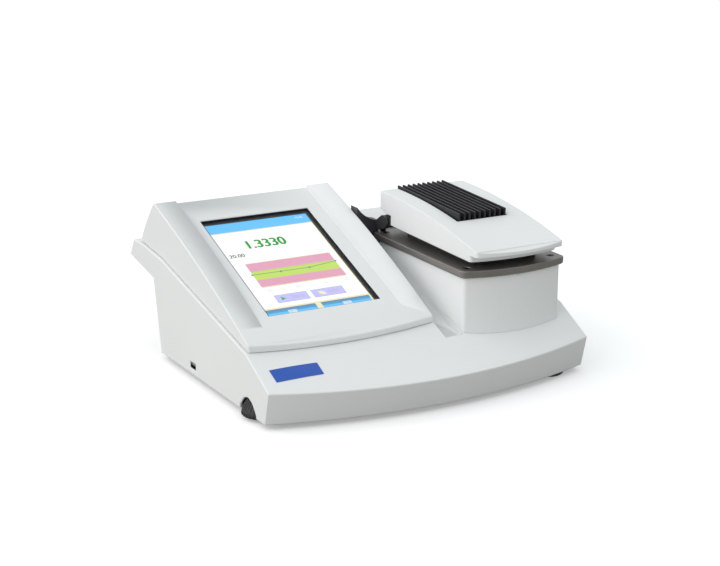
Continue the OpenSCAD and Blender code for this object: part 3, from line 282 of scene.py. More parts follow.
def stands_for(piece, body, *replaced, slot):
    """Fixes the piece to its body and lets it stand in place of the nodes named."""
    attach(piece, body)
    if replaced:
        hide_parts(*replaced)


shell_plastic = surface("shell_plastic", SHELL_WHITE, 0.48, mottle=(14, 0.008), grain=(1400, 0.035),
                        rough_vary=0.05)
CHANNEL_LEFT, CHANNEL_RIGHT = 25 * MM, 50.5 * MM
CHANNEL_FLOOR, CHANNEL_END = 46 * MM, 60 * MM


def base_corner(middle):
    """The channel beside the head keeps its sharp edges: the hollow sweep covers them."""
    across = CHANNEL_LEFT < middle.x < CHANNEL_RIGHT
    in_channel = across and middle.z > CHANNEL_FLOOR and middle.y < CHANNEL_END
    return 0 if in_channel else BASE_CORNER


base = softened("base_housing", "base_shell", base_corner)
stands_for(painted(base, shell_plastic), "base", "base_housing", slot="shell_plastic")

# Bottom: a folded steel tray closes the housing from below, held by eight round-headed screws into
# moulded bosses; three rubber feet stand out below it.
sheet_steel = surface("sheet_steel", (0.55, 0.56, 0.57), 0.38, metal=1.0, mottle=(60, 0.06),
                      grain=(700, 0.03), streak=(0.2, 1, 1), rough_vary=0.12)
bright_steel = surface("bright_steel", (0.62, 0.63, 0.64), 0.22, metal=1.0, mottle=(90, 0.05),
                       grain=(1500, 0.01), rough_vary=0.08)
rubber_black = surface("rubber_black", (0.022, 0.022, 0.023), 0.75, mottle=(120, 0.15),
                       grain=(1800, 0.05), rough_vary=0.1, sheen=0.15)


def finish_node(node, material):
    painted(nodes[node], material)


def turned(name, outline, sides=48, hex_below=None):
    """A turned part: (radius, height) points in mm spun round the z axis into a closed shape.

    The points from number hex_below on are six-sided, for a key's socket."""
    bm = bmesh.new()
    rings = []
    for k, (radius, height) in enumerate(outline):
        if radius < 1e-6:
            rings.append([bm.verts.new((0, 0, height * MM))])
            continue
        ring = []
        for i in range(sides):
            a = math.tau * i / sides
            r = radius
            if hex_below is not None and k >= hex_below:
                r = radius / math.cos((a + math.pi / 6) % (math.pi / 3) - math.pi / 6)
            ring.append(bm.verts.new((r * math.cos(a) * MM, r * math.sin(a) * MM, height * MM)))
        rings.append(ring)
    for low, high in zip(rings, rings[1:]):
        for i in range(sides):
            j = (i + 1) % sides
            if len(low) == 1:
                bm.faces.new((low[0], high[j], high[i]))
            elif len(high) == 1:
                bm.faces.new((low[i], low[j], high[0]))
            else:
                bm.faces.new((low[i], low[j], high[j], high[i]))
    bmesh.ops.recalc_face_normals(bm, faces=bm.faces)
    return piece_from(bm, name)


def tree_for(name, **sizes):
    """A Geometry Nodes tree with one named input for each size; returns it with a node maker.

    The maker takes sockets by their names, or by number as in0, in1."""
    tree = bpy.data.node_groups.new(name, "GeometryNodeTree")
    tree.interface.new_socket("Geometry", in_out="INPUT", socket_type="NodeSocketGeometry")
    kinds = {int: "NodeSocketInt", float: "NodeSocketFloat", tuple: "NodeSocketVector",
             bpy.types.Object: "NodeSocketObject", bpy.types.Material: "NodeSocketMaterial"}
    for label, value in sizes.items():
        tree.interface.new_socket(label, in_out="INPUT", socket_type=kinds[type(value)])
    tree.interface.new_socket("Geometry", in_out="OUTPUT", socket_type="NodeSocketGeometry")
    given = tree.nodes.new("NodeGroupInput")

    def step(kind, out=0, _set=None, **ins):
        node = tree.nodes.new(kind)
        for key, value in (_set or {}).items():
            setattr(node, key, value)
        for key, value in ins.items():
            by_number = key.startswith("in") and key[2:].isdigit()
            socket = node.inputs[int(key[2:]) if by_number else key.replace("_", " ")]
            if isinstance(value, bpy.types.NodeSocket):
                tree.links.new(value, socket)
            else:
                socket.default_value = value
        return node.outputs[out]

    return tree, given.outputs, step


def grown(name, tree, base_mesh=None, **sizes):
    """Runs a tree on a new object with its sizes set and leaves a plain mesh."""
    piece = shown(bpy.data.objects.new(name, base_mesh or bpy.data.meshes.new(name)))
    modifier = piece.modifiers.new(name, "NODES")
    modifier.node_group = tree
    for item in tree.interface.items_tree:
        if item.item_type == "SOCKET" and item.in_out == "INPUT" and item.name in sizes:
            modifier[item.identifier] = sizes[item.name]
    return finished_mesh(piece)


def close_tree(tree, step, shape, material):
    """Ends a tree: instances made real, finish set."""
    real = step("GeometryNodeRealizeInstances", Geometry=shape)
    done = step("GeometryNodeSetMaterial", Geometry=real, Material=material)
    out = tree.nodes.new("NodeGroupOutput")
    tree.links.new(done, out.inputs[0])


def points_mesh(name, places):
    mesh = bpy.data.meshes.new(name)
    mesh.from_pydata([Vector(p) * MM for p in places], [], [])
    return mesh


def set_out(name, part, places, material, turn=(0.0, 0.0, 0.0)):
    """Sets a copy of the part at each place, turned the same way."""
    tree, given, step = tree_for(name + "_places", Part=part, Turn=tuple(turn), Finish=material)
    shape = step("GeometryNodeObjectInfo", "Geometry", Object=given["Part"])
    spread = step("GeometryNodeInstanceOnPoints", Points=given["Geometry"], Instance=shape,
                  Rotation=given["Turn"])
    close_tree(tree, step, spread, given["Finish"])
    piece = grown(name, tree, points_mesh(name, places), Part=part, Turn=turn, Finish=material)
    bpy.data.objects.remove(part)
    return piece


finish_node("bottom_plate", sheet_steel)
finish_node("fixed_feet", rubber_black)
ORIGIN_Y = 147.5
TRAY_SCREW_Z = 6.3
SCREW_PLACES = [(side * 180, y - ORIGIN_Y) for side in (-1, 1) for y in (84, 130, 240)]
SCREW_PLACES += [(-60, -165.5), (60, -165.5)]
pan_head = turned("pan_head", [(1.0, 2.2), (1.6, 2.2), (1.6, -0.2), (2.6, -0.3), (3.0, -0.7),
                               (3.0, -1.3), (2.6, -1.75), (1.5, -1.8), (1.2, -1.75), (1.2, -0.75),
                               (0, -0.6)], sides=36, hex_below=8)
bottom_screws = set_out("tray_screws", pan_head, [(x, y, TRAY_SCREW_Z) for x, y in SCREW_PLACES],
                        bright_steel)
stands_for(bottom_screws, "base", "bottom_screws", slot="bright_steel")

# Levelling foot: a black moulded thumb wheel with ribs round its edge turns on a steel stud whose
# rubber pad stands on the bench; it looks out through a notch in the left wall.
WHEEL = Vector((-173, -109.5, 3.4))
WHEEL_RIBS, WHEEL_RADIUS, RIB_RADIUS = 30, 21.0, 1.0
black_plastic = surface("black_plastic", (0.018, 0.018, 0.019), 0.42, mottle=(80, 0.12),
                        grain=(1500, 0.03), rough_vary=0.08)


def ribbed_wheel():
    body = turned("wheel_body", [(4.06, 0), (20.2, 0), (WHEEL_RADIUS, 0.8), (WHEEL_RADIUS, 5.2),
                                 (15.0, 15.6), (14.2, 16.8), (12.6, 17.9), (9.0, 18.0), (8.2, 17.2),
                                 (4.9, 17.2), (4.06, 17.0), (4.06, 0)], sides=96)
    tree, given, step = tree_for("wheel_ribs", Body=body, Ribs=WHEEL_RIBS, Radius=WHEEL_RADIUS * MM,
                                 Rib=RIB_RADIUS * MM, Foot=(0.0, 0.0, 0.0), Knee=(0.0, 0.0, 0.0),
                                 Top=(0.0, 0.0, 0.0), Finish=black_plastic)
    line = step("GeometryNodeCurveQuadraticBezier", Resolution=5, Start=given["Foot"],
                Middle=given["Knee"], End=given["Top"])
    ring = step("GeometryNodeCurvePrimitiveCircle", Resolution=8, Radius=given["Rib"])
    rib = step("GeometryNodeCurveToMesh", Curve=line, Profile_Curve=ring, Fill_Caps=True)
    spots = step("GeometryNodeMeshCircle", Vertices=given["Ribs"], Radius=given["Radius"])
    count = step("GeometryNodeInputIndex")
    share = step("ShaderNodeMath", _set={"operation": "DIVIDE"}, in0=count, in1=given["Ribs"])
    angle = step("ShaderNodeMath", _set={"operation": "MULTIPLY"}, in0=share, in1=math.tau)
    turn = step("ShaderNodeCombineXYZ", Z=angle)
    ribs = step("GeometryNodeInstanceOnPoints", Points=spots, Instance=rib, Rotation=turn)
    core = step("GeometryNodeObjectInfo", "Geometry", Object=given["Body"])
    both = tree.nodes.new("GeometryNodeJoinGeometry")
    tree.links.new(core, both.inputs[0])
    tree.links.new(ribs, both.inputs[0])
    close_tree(tree, step, both.outputs[0], given["Finish"])
    wheel = grown("thumb_wheel", tree, Body=body, Ribs=WHEEL_RIBS, Radius=WHEEL_RADIUS * MM,
                  Rib=RIB_RADIUS * MM, Foot=(0, 0, 0.6 * MM), Knee=(0.2 * MM, 0, 6.0 * MM),
                  Top=(-6.6 * MM, 0, 16.2 * MM), Finish=black_plastic)
    bpy.data.objects.remove(body)
    wheel.data.transform(Matrix.Translation(WHEEL * MM))
    return wheel


stands_for(ribbed_wheel(), "level_wheel", "levelling_wheel", slot="black_plastic")
finish_node("levelling_stud", bright_steel)
finish_node("levelling_pad", rubber_black)
finish_node("levelling_bracket", sheet_steel)

# Sockets in the walls: mains inlet with its rocker switch, serial, network and memory-stick ports
# at the rear, one more memory-stick port low in the left wall. Shells are plated steel, inserts
# black.
REAR_TILT = math.atan(17 / 80.8)
REAR_WALL = Matrix.Translation((0, 106.5 * MM, 6 * MM)) @ Matrix.Rotation(-REAR_TILT, 4, "X")
contact_gold = surface("contact_gold", (0.72, 0.50, 0.20), 0.25, metal=1.0, mottle=(300, 0.05),
                       grain=(2000, 0.005))
for socket in ("side_usb_port", "serial_port", "network_port", "rear_usb_ports"):
    finish_node(socket, bright_steel)
for moulding in ("power_inlet", "switch_frame"):
    finish_node(moulding, black_plastic)
rocker = softened("power_rocker", "rocker_key", 0.4 * MM, segments=2)
stands_for(painted(rocker, black_plastic), "rocker", "power_rocker", slot="black_plastic")


def bar(name, w, d, h, edge):
    """A small flat bar with rounded edges, its middle at the origin."""
    bm = bmesh.new()
    bmesh.ops.create_cube(bm, size=1)
    bmesh.ops.scale(bm, vec=(w * MM, d * MM, h * MM), verts=bm.verts)
    bmesh.ops.bevel(bm, geom=list(bm.edges), offset=edge * MM, segments=2, affect="EDGES",
                    profile=0.5)
    return piece_from(bm, name)


def at_rear(piece):
    piece.data.transform(REAR_WALL)
    return piece


blades = set_out("inlet_blades", bar("blade", 2.1, 12.2, 4.2, 0.6),
                 [(-137, -10, 39.5), (-130, -10, 36.5), (-123, -10, 39.5)], bright_steel)
stands_for(at_rear(blades), "base", slot="bright_steel")
tongues = set_out("port_tongues", bar("tongue", 10.6, 15.2, 1.9, 0.3),
                  [(84, -8.4, 38.7), (84, -8.4, 31.3)], black_plastic)
stands_for(at_rear(tongues), "base", slot="black_plastic")
STICK_X, STICK_Z, STICK_RISE = 84, 36, 3.7
NETWORK_X, NETWORK_Z, CONTACT_PITCH = 52, 32.2, 1.02
finger_places = [(STICK_X + x, -5, STICK_Z + row * STICK_RISE)
                 for row in (-1, 1) for x in (-3.5, -1, 1, 3.5)]
finger_places += [(NETWORK_X + CONTACT_PITCH * (i - 3.5), -6, NETWORK_Z) for i in range(8)]
fingers = set_out("port_contacts", bar("finger", 1.0, 9, 0.16, 0.05), finger_places, contact_gold)
stands_for(at_rear(fingers), "base", slot="brass")

# Console: the separate white moulding that holds the display, of the same plastic as the base and
# set down on its deck; a raised rail runs up each side and a bowed lip closes the front.
CONSOLE_CORNER = 1.2 * MM
CONSOLE_MIDDLE, RAIL_INNER, RAIL_SLACK = -80 * MM, 81 * MM, 0.5 * MM


def console_corner(middle):
    """The rails' inner steps fade out towards the front, so their corners stay sharp."""
    at_step = abs(abs(middle.x - CONSOLE_MIDDLE) - RAIL_INNER) < RAIL_SLACK
    return 0 if at_step else CONSOLE_CORNER


console = softened("console_shell", "console_cover", console_corner)
stands_for(painted(console, shell_plastic), "base", "console_shell", slot="shell_plastic")

# Display: liquid-crystal module under a touch glass in a black liner. The picture is a reading, a
# temperature, a chart of the last readings and blank keys; it is drawn in flat inks that glow.
INKS = {"white": (255, 255, 255), "sky": (94, 193, 255), "beige": (238, 228, 186),
        "pink": (225, 160, 186), "lime": (192, 222, 96), "green": (12, 150, 18),
        "moss": (20, 84, 30), "lilac": (196, 192, 248), "blue": (40, 72, 190),
        "line": (96, 150, 110), "ash": (178, 180, 206), "mask_and_shade": (44, 44, 46),
        "dusk": (86, 140, 182), "sea": (70, 158, 206), "cream": (236, 232, 214),
        "leaf": (30, 176, 90)}


PANEL = (Matrix.Translation((-81 * MM, -70.1 * MM, 87.6 * MM))
         @ Matrix.Rotation(math.radians(20.8), 4, "X"))
FACE_DEPTH, INK_STEP = -1.56, 0.02
CAP_SHARE = 0.73


def linear(ink):
    """The ink's light values, from its screen values."""
    return tuple((c / 255 / 12.92) if c < 10.3 else ((c / 255 + 0.055) / 1.055) ** 2.4 for c in ink)


def glowing_ink():
    material = bpy.data.materials.new("display_ink")
    material.use_nodes = True
    tree = material.node_tree
    shader = tree.nodes["Principled BSDF"]
    ink = tree.nodes.new("ShaderNodeVertexColor")
    ink.layer_name = "ink"
    place = tree.nodes.new("ShaderNodeTexCoord")
    cells = tree.nodes.new("ShaderNodeTexNoise")
    cells.inputs["Scale"].default_value = 60
    tree.links.new(place.outputs["Object"], cells.inputs["Vector"])
    haze = tree.nodes.new("ShaderNodeMapRange")
    haze.inputs["To Min"].default_value, haze.inputs["To Max"].default_value = 0.985, 1.0
    tree.links.new(cells.outputs["Fac"], haze.inputs["Value"])
    lit = tree.nodes.new("ShaderNodeVectorMath")
    lit.operation = "SCALE"
    tree.links.new(ink.outputs["Color"], lit.inputs[0])
    tree.links.new(haze.outputs["Result"], lit.inputs["Scale"])
    tree.links.new(lit.outputs[0], shader.inputs["Emission Color"])
    shader.inputs["Emission Strength"].default_value = 1.04
    shader.inputs["Base Color"].default_value = (0.01, 0.01, 0.01, 1)
    shader.inputs["Roughness"].default_value = 0.5
    return material


class Picture:
    """Flat inked shapes on the display's face, in mm across and up its slope."""

    def __init__(self):
        self.bm = bmesh.new()
        self.ink = self.bm.loops.layers.float_color.new("ink")

    def points(self, corners, layer):
        height = (FACE_DEPTH + INK_STEP * layer) * MM
        return [self.bm.verts.new((x * MM, y * MM, height)) for x, y in corners]

    def inked(self, ink, verts):
        for loop in self.bm.faces.new(verts).loops:
            loop[self.ink] = (*linear(INKS[ink]), 1)

    def shape(self, ink, corners, layer):
        self.inked(ink, self.points(corners, layer))

    def block(self, ink, x0, y0, x1, y1, layer=1):
        self.shape(ink, [(x0, y0), (x1, y0), (x1, y1), (x0, y1)], layer)

    def dot(self, ink, x, y, r, layer, sides=12):
        angles = [math.tau * i / sides for i in range(sides)]
        self.shape(ink, [(x + r * math.cos(a), y + r * math.sin(a)) for a in angles], layer)

    def digits(self, ink, text, x, y, height, layer, bold=0.0, stretch=1.0):
        """Figures, set three times a little apart where they are bold."""
        for shift in (-bold, 0, bold) if bold else (0,):
            self.figures(ink, text, x + shift, y, height, layer, bold / 3, stretch)

    def figures(self, ink, text, x, y, height, layer, bold, stretch):
        font = bpy.data.curves.new("digits", "FONT")
        font.body = text
        font.size = height / CAP_SHARE
        font.offset = bold
        piece = shown(bpy.data.objects.new("digits", font))
        bpy.context.view_layer.update()
        depsgraph = bpy.context.evaluated_depsgraph_get()
        mesh = bpy.data.meshes.new_from_object(piece.evaluated_get(depsgraph))
        bpy.data.objects.remove(piece)
        verts = self.points([(x + v.co.x * stretch, y + v.co.y) for v in mesh.vertices], layer)
        for polygon in mesh.polygons:
            self.inked(ink, [verts[i] for i in polygon.vertices])

    def finish(self, name):
        for face in self.bm.faces:
            face.normal_update()
            if face.normal.z < 0:
                face.normal_flip()
        self.bm.transform(PANEL)
        return piece_from(self.bm, name)


def draw_picture():
    p = Picture()
    # Dark border round the picture: the display's own mask, and along its right and top edges also
    # painted shade from the liner's inner wall.
    p.block("mask_and_shade", -65.2, 0.05, 65.2, 175.4, 0)
    p.block("beige", -65.1, 1.4, 60.6, 170)
    p.block("sky", -65.1, 153.7, 60.6, 170, 2)
    p.block("white", -64.1, 16.4, 59.4, 152.4, 2)
    p.digits("green", "1.3330", -33.8, 120.6, 14.6, 3, bold=0.5, stretch=0.90)
    p.digits("moss", "20.00", -59.2, 107.8, 6.0, 3, bold=0.12)
    p.digits("white", "12:45", 44.5, 163.4, 3.2, 3)
    for k in range(2):
        p.block("beige", -48.2, 51.0 + k * 42.6, 52.2, 52.6 + k * 42.6, 3)
    for ink, low, high in (("pink", 52.2, 65.2), ("lime", 65.2, 80.2), ("pink", 80.2, 94.2)):
        p.block(ink, -48.2, low, 52.2, high, 3)
    trace = [(-48.6, 74.7), (-15.5, 74.4), (18.5, 74.2), (52.1, 78.6)]
    for (x0, y0), (x1, y1) in zip(trace, trace[1:]):
        p.shape("line", [(x0, y0 - 0.45), (x1, y1 - 0.45), (x1, y1 + 0.45), (x0, y0 + 0.45)], 4)
    for x, y in trace:
        p.dot("blue", x, y, 1.25, 5)
    for text, y in (("1.334", 92.6), ("1.333", 79.0), ("1.332", 64.6), ("1.331", 51.4)):
        p.digits("ash", text, -56.2, y, 1.9, 3)
    for text, x in (("12:15", -45.5), ("12:25", -12.5), ("12:35", 20.5), ("12:45", 45.5)):
        p.digits("ash", text, x, 46.6, 1.9, 3)
        p.digits("ash", "20.00", x, 43.6, 1.9, 3)
    for x in (-41.8, 0.7):
        p.block("dusk", x - 0.4, 22.8, x + 36.6, 35.9, 3)
        p.block("lilac", x, 23.2, x + 36.2, 35.5, 4)
    p.shape("leaf", [(-36.2, 32.4), (-36.2, 26.4), (-30.6, 29.2)], 5)
    for x, y in ((9.8, 28.2), (7.6, 29.8)):
        p.block("ash", x - 0.3, y - 2.9, x + 5.6, y + 2.9, 5)
        p.block("cream", x, y - 2.6, x + 5.3, y + 2.6, 6)
    for y in (31.1, 29.4, 27.7):
        p.block("ash", -24.5, y - 0.4, -9.5, y + 0.3, 5)
        p.block("ash", 18.5, y - 0.4, 31.5, y + 0.3, 5)
    for x0, x1 in ((-62.2, -5.0), (1.4, 58.6)):
        for ink, low, high in (("sea", 1.9, 3.6), ("sky", 3.6, 8.0), ("sea", 8.0, 10.6),
                               ("dusk", 10.6, 13.9)):
            p.block(ink, x0, low, x1, high, 3)
        for y in (5.6, 7.3, 9.0):
            p.block("white", (x0 + x1) / 2 - 5, y - 0.45, (x0 + x1) / 2 + 5, y + 0.35, 4)
    return p.finish("display_picture")


picture = painted(draw_picture(), glowing_ink())
stands_for(picture, "base", slot="screen")
finish_node("lcd_module", surface("display_backing", (0.02, 0.02, 0.022), 0.4, mottle=(30, 0.1),
                                  grain=(900, 0.01)))
finish_node("display_frame", black_plastic)


def clear_glass(name, tint, rough, bend=1.5):
    material = surface(name, tint, rough, mottle=(6, 0.004), grain=(12, 0.002), rough_vary=0.01,
                       ior=bend)
    shader = material.node_tree.nodes["Principled BSDF"]
    shader.inputs["Transmission Weight"].default_value = 1.0
    return material


cover_glass = clear_glass("cover_glass", (0.985, 0.99, 0.99), 0.03, bend=1.18)
finish_node("touch_glass", cover_glass)
for inner, finish in (("display_bracket", sheet_steel), ("display_screws", bright_steel),
                      ("power_supply", sheet_steel)):
    finish_node(inner, finish)

# Head: the white moulded tower that stands on the base and whose left wall runs into the deck in a
# broad hollow sweep; inside it the measuring cell is cooled by a finned block and a small fan.
HEAD_WALL = 49.5
SWEEP_FRONT, SWEEP_REAR, SWEEP_RUN = 24.5, 201.4, 75
SWEEP_SMALLEST, SWEEP_GROWTH = 1.2, 15.3
SWEEP_STEPS, SWEEP_TURNS = 40, 12
SWEEP_BURY, SWEEP_WALL_BURY = 0.6, 0.15
finish_node("head_housing", shell_plastic)


def base_surface():
    """The base housing's surface, to set other pieces down on."""
    bm = bmesh.new()
    bm.from_mesh(nodes["base_housing"].data)
    surface_tree = BVHTree.FromBMesh(bm)
    bm.free()
    return surface_tree


def hollow_sweep():
    """Concave sweep along the foot of the head's left wall, drawn over the deck beneath it."""
    ground = base_surface()
    bm = bmesh.new()
    rows = []
    for i in range(SWEEP_STEPS + 1):
        y = SWEEP_FRONT + (SWEEP_REAR - SWEEP_FRONT) * i / SWEEP_STEPS
        grow = min(max((y - SWEEP_FRONT) / SWEEP_RUN, 0), 1)
        radius = SWEEP_SMALLEST + SWEEP_GROWTH * (grow * grow * (3 - 2 * grow))
        above = Vector(((HEAD_WALL - radius - 0.2) * MM, (y - ORIGIN_Y) * MM, 0.3))
        floor = ground.ray_cast(above, Vector((0, 0, -1)))[0].z / MM
        centre = (HEAD_WALL - radius, floor + radius)
        angles = [math.pi / 2 * k / SWEEP_TURNS for k in range(SWEEP_TURNS + 1)]
        row = [(centre[0] + radius * math.sin(a), centre[1] - radius * math.cos(a)) for a in angles]
        row = [(row[0][0] - SWEEP_BURY, row[0][1] - 0.12)] + row
        row += [(HEAD_WALL + SWEEP_WALL_BURY, row[-1][1] + 0.8),
                (HEAD_WALL + SWEEP_WALL_BURY, floor - SWEEP_BURY), (row[0][0], floor - SWEEP_BURY)]
        rows.append([bm.verts.new((x * MM, (y - ORIGIN_Y) * MM, z * MM)) for x, z in row])
    for low, high in zip(rows, rows[1:]):
        for k in range(len(low)):
            m = (k + 1) % len(low)
            bm.faces.new((low[k], low[m], high[m], high[k]))
    bm.faces.new(rows[0])
    bm.faces.new(rows[-1])
    bmesh.ops.recalc_face_normals(bm, faces=bm.faces)
    return finished_mesh(piece_from(bm, "hollow_sweep"), 50)


stands_for(painted(hollow_sweep(), shell_plastic), "base", slot="shell_plastic")
aluminium = surface("aluminium", (0.60, 0.61, 0.62), 0.34, metal=1.0, mottle=(70, 0.05),
                    grain=(900, 0.03), streak=(1, 0.15, 1), rough_vary=0.1)
black_anodised = surface("black_anodised", (0.009, 0.0085, 0.010), 0.40, metal=0.1,
                         mottle=(90, 0.12), grain=(1300, 0.02), rough_vary=0.09,
                         worn=((0.10, 0.10, 0.105), 0.58), ior=1.35)
board_green = surface("board", (0.03, 0.16, 0.06), 0.4, mottle=(220, 0.2), grain=(600, 0.05))
ceramic = surface("cell_ceramic", (0.78, 0.78, 0.75), 0.5, mottle=(200, 0.03), grain=(1600, 0.02))
amber = surface("lamp", (0.85, 0.55, 0.15), 0.2, mottle=(100, 0.05), grain=(500, 0.01))
optical_glass = clear_glass("optical_glass", (0.93, 0.97, 0.99), 0.01)
for inner, finish in (("main_board", board_green), ("line_sensor", board_green),
                      ("head_heat_sink", aluminium), ("optics_block", black_anodised),
                      ("led_source", amber), ("condenser_lens", optical_glass),
                      ("imaging_lens", optical_glass), ("fan_frame", black_plastic),
                      ("fan_rotor", black_plastic), ("peltier_modules", ceramic)):
    finish_node(inner, finish)

# Sample plate: dark satin-coated metal with rounded corners, the polished prism dish let into it
# and four socket-head screws in counterbores.
plate_metal = surface("plate_metal", (0.225, 0.208, 0.195), 0.36, metal=0.7, mottle=(55, 0.07),
                      grain=(1100, 0.02), streak=(1, 0.25, 1), rough_vary=0.08,
                      worn=((0.40, 0.38, 0.36), 0.53))
plate = softened("sample_plate", "plate_cover", 0.9 * MM)
stands_for(painted(plate, plate_metal), "base", "sample_plate", slot="plate_metal")
black_oxide = surface("black_oxide", (0.03, 0.03, 0.032), 0.4, metal=0.8, mottle=(300, 0.1),
                      grain=(1500, 0.01))
socket_head = turned("socket_head", [(1.0, -13), (2, -12.6), (2, -0.1), (3.3, 0), (3.6, 0.3),
                                     (3.6, 3.6), (3.2, 4.0), (1.9, 4.0), (1.7, 3.85), (1.7, 1.7),
                                     (0, 1.5)], sides=36, hex_below=8)
HEAD_X, PLATE_SCREW_X, PLATE_SCREW_Z = 110, 52.5, 121.5
PLATE_SCREWS = [(HEAD_X + side * PLATE_SCREW_X, y - ORIGIN_Y, PLATE_SCREW_Z)
                for side in (-1, 1) for y in (26, 192)]
stands_for(set_out("plate_bolts", socket_head, PLATE_SCREWS, black_oxide), "base", "plate_screws",
           slot="bright_steel")
finish_node("prism_seat", bright_steel)
finish_node("prism", optical_glass)

# Hinge: a dark moulded cowl stands on the base and hides the foot of the hinge ears; a steel shaft
# turns in sintered bronze bushes let into them.
cowl_plastic = surface("cowl_plastic", (0.042, 0.041, 0.044), 0.40, mottle=(30, 0.05),
                       grain=(1500, 0.03), rough_vary=0.06)
brass = surface("brass", (0.60, 0.42, 0.20), 0.35, metal=1.0, mottle=(120, 0.08),
                grain=(1200, 0.02))
finish_node("hinge_cowl", cowl_plastic)
ears = softened("hinge_bracket", "hinge_ears", 0.8 * MM)
stands_for(painted(ears, cowl_plastic), "base", "hinge_bracket", slot="cowl_plastic")
finish_node("hinge_bushes", brass)
finish_node("hinge_shaft", bright_steel)
finish_node("lid_hinge_block", aluminium)

# Lid: a white shell with a bowed lip over a stepped-in body; inside it a dark floor with a rubber
# light seal, closed by four small screws.
LID_CORNER = 0.8 * MM
lid = softened("lid_shell", "lid_cover", LID_CORNER)
stands_for(painted(lid, shell_plastic), "lid", "lid_shell", slot="shell_plastic")
finish_node("lid_floor", cowl_plastic)
finish_node("light_seal", rubber_black)
finish_node("lid_screws", bright_steel)
finish_node("lid_peltier", ceramic)

# Lid heat sink: a length of black anodised aluminium extrusion, ten upright fins on a thin base,
# let into the lid's top over the cooling cell.
SINK_REAR, SINK_FRONT, SINK_DROP = 205.4, 77.8, 5
SINK_TILT = math.atan(SINK_DROP / (SINK_REAR - SINK_FRONT))
SINK = (Matrix.Translation((110 * MM, -69.7 * MM, 169.2 * MM)) @ Matrix.Rotation(SINK_TILT, 4, "X")
        @ Matrix.Translation((0, 0, -12 * MM)))
SINK_LENGTH = (SINK_REAR - SINK_FRONT) / math.cos(SINK_TILT) * MM
FIN_COUNT, FIN_THICKNESS, FIN_HEIGHT, FIN_SPAN, FIN_TIP = 10, 1.9, 10.5, 59.6, 0.35
FIN_PITCH = (FIN_SPAN - FIN_THICKNESS) / (FIN_COUNT - 1)
SINK_WIDTH, SINK_BASE = 62.6, 3.0


def finned_sink():
    tree, given, step = tree_for("fins", Fins=10, Pitch=1.0, Thickness=1.0, Height=1.0, Length=1.0,
                                 Base_Width=1.0, Base_Thickness=1.0, Tip=1.0,
                                 Finish=black_anodised)

    def prism_of(width, height, rounding):
        outline = step("GeometryNodeCurvePrimitiveQuadrilateral", Width=width, Height=height)
        rounded = step("GeometryNodeFilletCurve", _set={"mode": "POLY"}, Curve=outline, Count=3,
                       Radius=rounding)
        end = step("ShaderNodeCombineXYZ", Z=given["Length"])
        line = step("GeometryNodeCurvePrimitiveLine", End=end)
        return step("GeometryNodeCurveToMesh", Curve=line, Profile_Curve=rounded, Fill_Caps=True)

    rise = step("ShaderNodeMath", _set={"operation": "MULTIPLY"}, in0=given["Height"], in1=0.5)
    fin = prism_of(given["Thickness"], given["Height"], given["Tip"])
    lift = step("ShaderNodeCombineXYZ", Y=rise)
    fin = step("GeometryNodeTransform", Geometry=fin, Translation=lift)
    stride = step("ShaderNodeCombineXYZ", X=given["Pitch"])
    row = step("GeometryNodeMeshLine", Count=given["Fins"], Offset=stride)
    fins = step("GeometryNodeInstanceOnPoints", Points=row, Instance=fin)
    base = prism_of(given["Base_Width"], given["Base_Thickness"], given["Tip"])
    gaps = step("ShaderNodeMath", _set={"operation": "SUBTRACT"}, in0=given["Fins"], in1=1.0)
    span = step("ShaderNodeMath", _set={"operation": "MULTIPLY"}, in0=gaps, in1=given["Pitch"])
    half = step("ShaderNodeMath", _set={"operation": "MULTIPLY"}, in0=span, in1=0.5)
    shift = step("ShaderNodeCombineXYZ", X=half)
    base = step("GeometryNodeTransform", Geometry=base, Translation=shift)
    both = tree.nodes.new("GeometryNodeJoinGeometry")
    tree.links.new(fins, both.inputs[0])
    tree.links.new(base, both.inputs[0])
    close_tree(tree, step, both.outputs[0], given["Finish"])
    sink = grown("lid_fins", tree, Fins=FIN_COUNT, Pitch=FIN_PITCH * MM,
                 Thickness=FIN_THICKNESS * MM, Height=FIN_HEIGHT * MM, Length=SINK_LENGTH,
                 Base_Width=SINK_WIDTH * MM, Base_Thickness=SINK_BASE * MM, Tip=FIN_TIP * MM,
                 Finish=black_anodised)
    sink.data.transform(SINK @ Matrix.Translation((-4.5 * FIN_PITCH * MM, 0, SINK_BASE / 2 * MM))
                        @ Matrix.Rotation(math.pi / 2, 4, "X") @ Matrix.Scale(-1, 4, (0, 0, 1)))
    bm = bmesh.new()
    bm.from_mesh(sink.data)
    bmesh.ops.recalc_face_normals(bm, faces=bm.faces)
    bm.to_mesh(sink.data)
    bm.free()
    return sink


stands_for(finned_sink(), "lid", "lid_heat_sink", slot="black_anodised")

# Presser: a wound steel spring pushes a polished steel disc down on the sample; the disc's stem
# slides in a brass guide in the lid's floor.
SPRING_FOOT, SPRING_TOP = 129.52, 135.08
SPRING_RADIUS, SPRING_TURNS, WIRE_RADIUS = 5.6, 2.5, 0.5
PRESSER_AXIS = (110 * MM, -52.5 * MM)


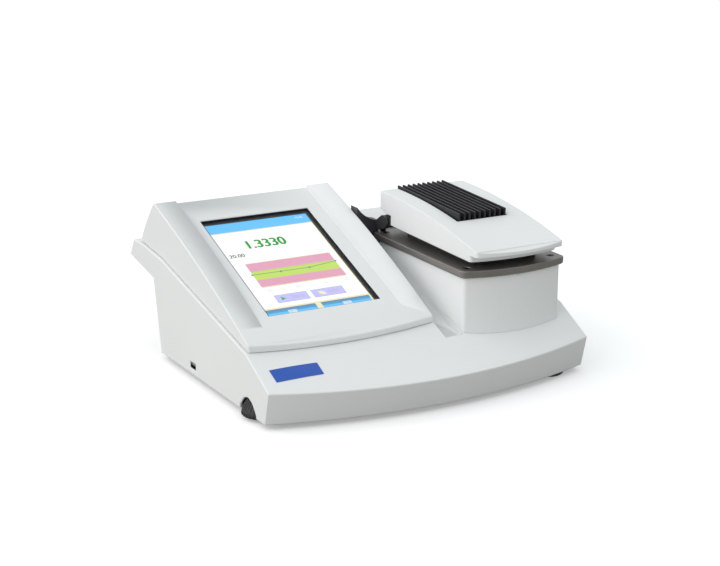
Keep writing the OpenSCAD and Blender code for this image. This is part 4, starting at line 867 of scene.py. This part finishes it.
def coil():
    tree, given, step = tree_for("coil", Turns=1.0, Radius=1.0, Rise=1.0, Wire=1.0,
                                 Finish=bright_steel)
    path = step("GeometryNodeCurveSpiral", Resolution=40, Rotations=given["Turns"],
                Start_Radius=given["Radius"], End_Radius=given["Radius"], Height=given["Rise"])
    wire = step("GeometryNodeCurvePrimitiveCircle", Resolution=12, Radius=given["Wire"])
    body = step("GeometryNodeCurveToMesh", Curve=path, Profile_Curve=wire, Fill_Caps=True)
    close_tree(tree, step, body, given["Finish"])
    spring = grown("presser_coil", tree, Turns=SPRING_TURNS, Radius=SPRING_RADIUS * MM,
                   Rise=(SPRING_TOP - SPRING_FOOT - 2 * WIRE_RADIUS) * MM, Wire=WIRE_RADIUS * MM,
                   Finish=bright_steel)
    foot = (SPRING_FOOT + WIRE_RADIUS) * MM
    spring.data.transform(Matrix.Translation((*PRESSER_AXIS, foot)))
    return spring


spring = coil()
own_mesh(spring)
stands_for(spring, "lid", "presser_spring", slot="bright_steel")
finish_node("presser_guide", brass)
finish_node("presser_plate", bright_steel)

# Name plate: a thin plastic sheet with a plain blue face, glued to the sloping deck in front of the
# console's left corner and left without words.
BLUE_CORNERS = [(-176.76, -131.51, 55.64), (-125.79, -135.0, 56.57), (-126.34, -151.24, 49.81),
                (-176.12, -146.76, 47.85)]
SHEET_CELLS = (16, 5)
SHEET_LEVELS = (-0.3, 0.45)


def blue_sheet():
    bm = bmesh.new()
    corners = [Vector(c) for c in BLUE_CORNERS]
    out = (corners[1] - corners[0]).cross(corners[0] - corners[3]).normalized()
    out = out if out.z > 0 else -out
    across, down = SHEET_CELLS
    grid = []
    for j in range(down + 1):
        for i in range(across + 1):
            top = corners[0].lerp(corners[1], i / across)
            bottom = corners[3].lerp(corners[2], i / across)
            grid.append(top.lerp(bottom, j / down))
    deck = base_surface()
    for level in SHEET_LEVELS:
        for point in grid:
            bm.verts.new(deck.find_nearest(point * MM)[0] + out * level * MM)
    bm.verts.ensure_lookup_table()
    n, row = len(grid), across + 1
    for j in range(down):
        for k in range(j * row, j * row + across):
            quad = (k, k + 1, k + row + 1, k + row)
            bm.faces.new([bm.verts[v] for v in quad])
            bm.faces.new([bm.verts[v + n] for v in quad])
    rim = list(range(across)) + [j * row + across for j in range(down)]
    rim += [down * row + i for i in range(across, 0, -1)] + [j * row for j in range(down, 0, -1)]
    for a, b in zip(rim, rim[1:] + rim[:1]):
        bm.faces.new([bm.verts[v] for v in (a, b, b + n, a + n)])
    bmesh.ops.recalc_face_normals(bm, faces=bm.faces)
    return finished_mesh(piece_from(bm, "blue_sheet"))


blue_face = surface("blue_face", (0.004, 0.075, 0.43), 0.33, mottle=(60, 0.05), grain=(900, 0.01),
                    coat=0.3)
stands_for(painted(blue_sheet(), blue_face), "base", slot="screen")
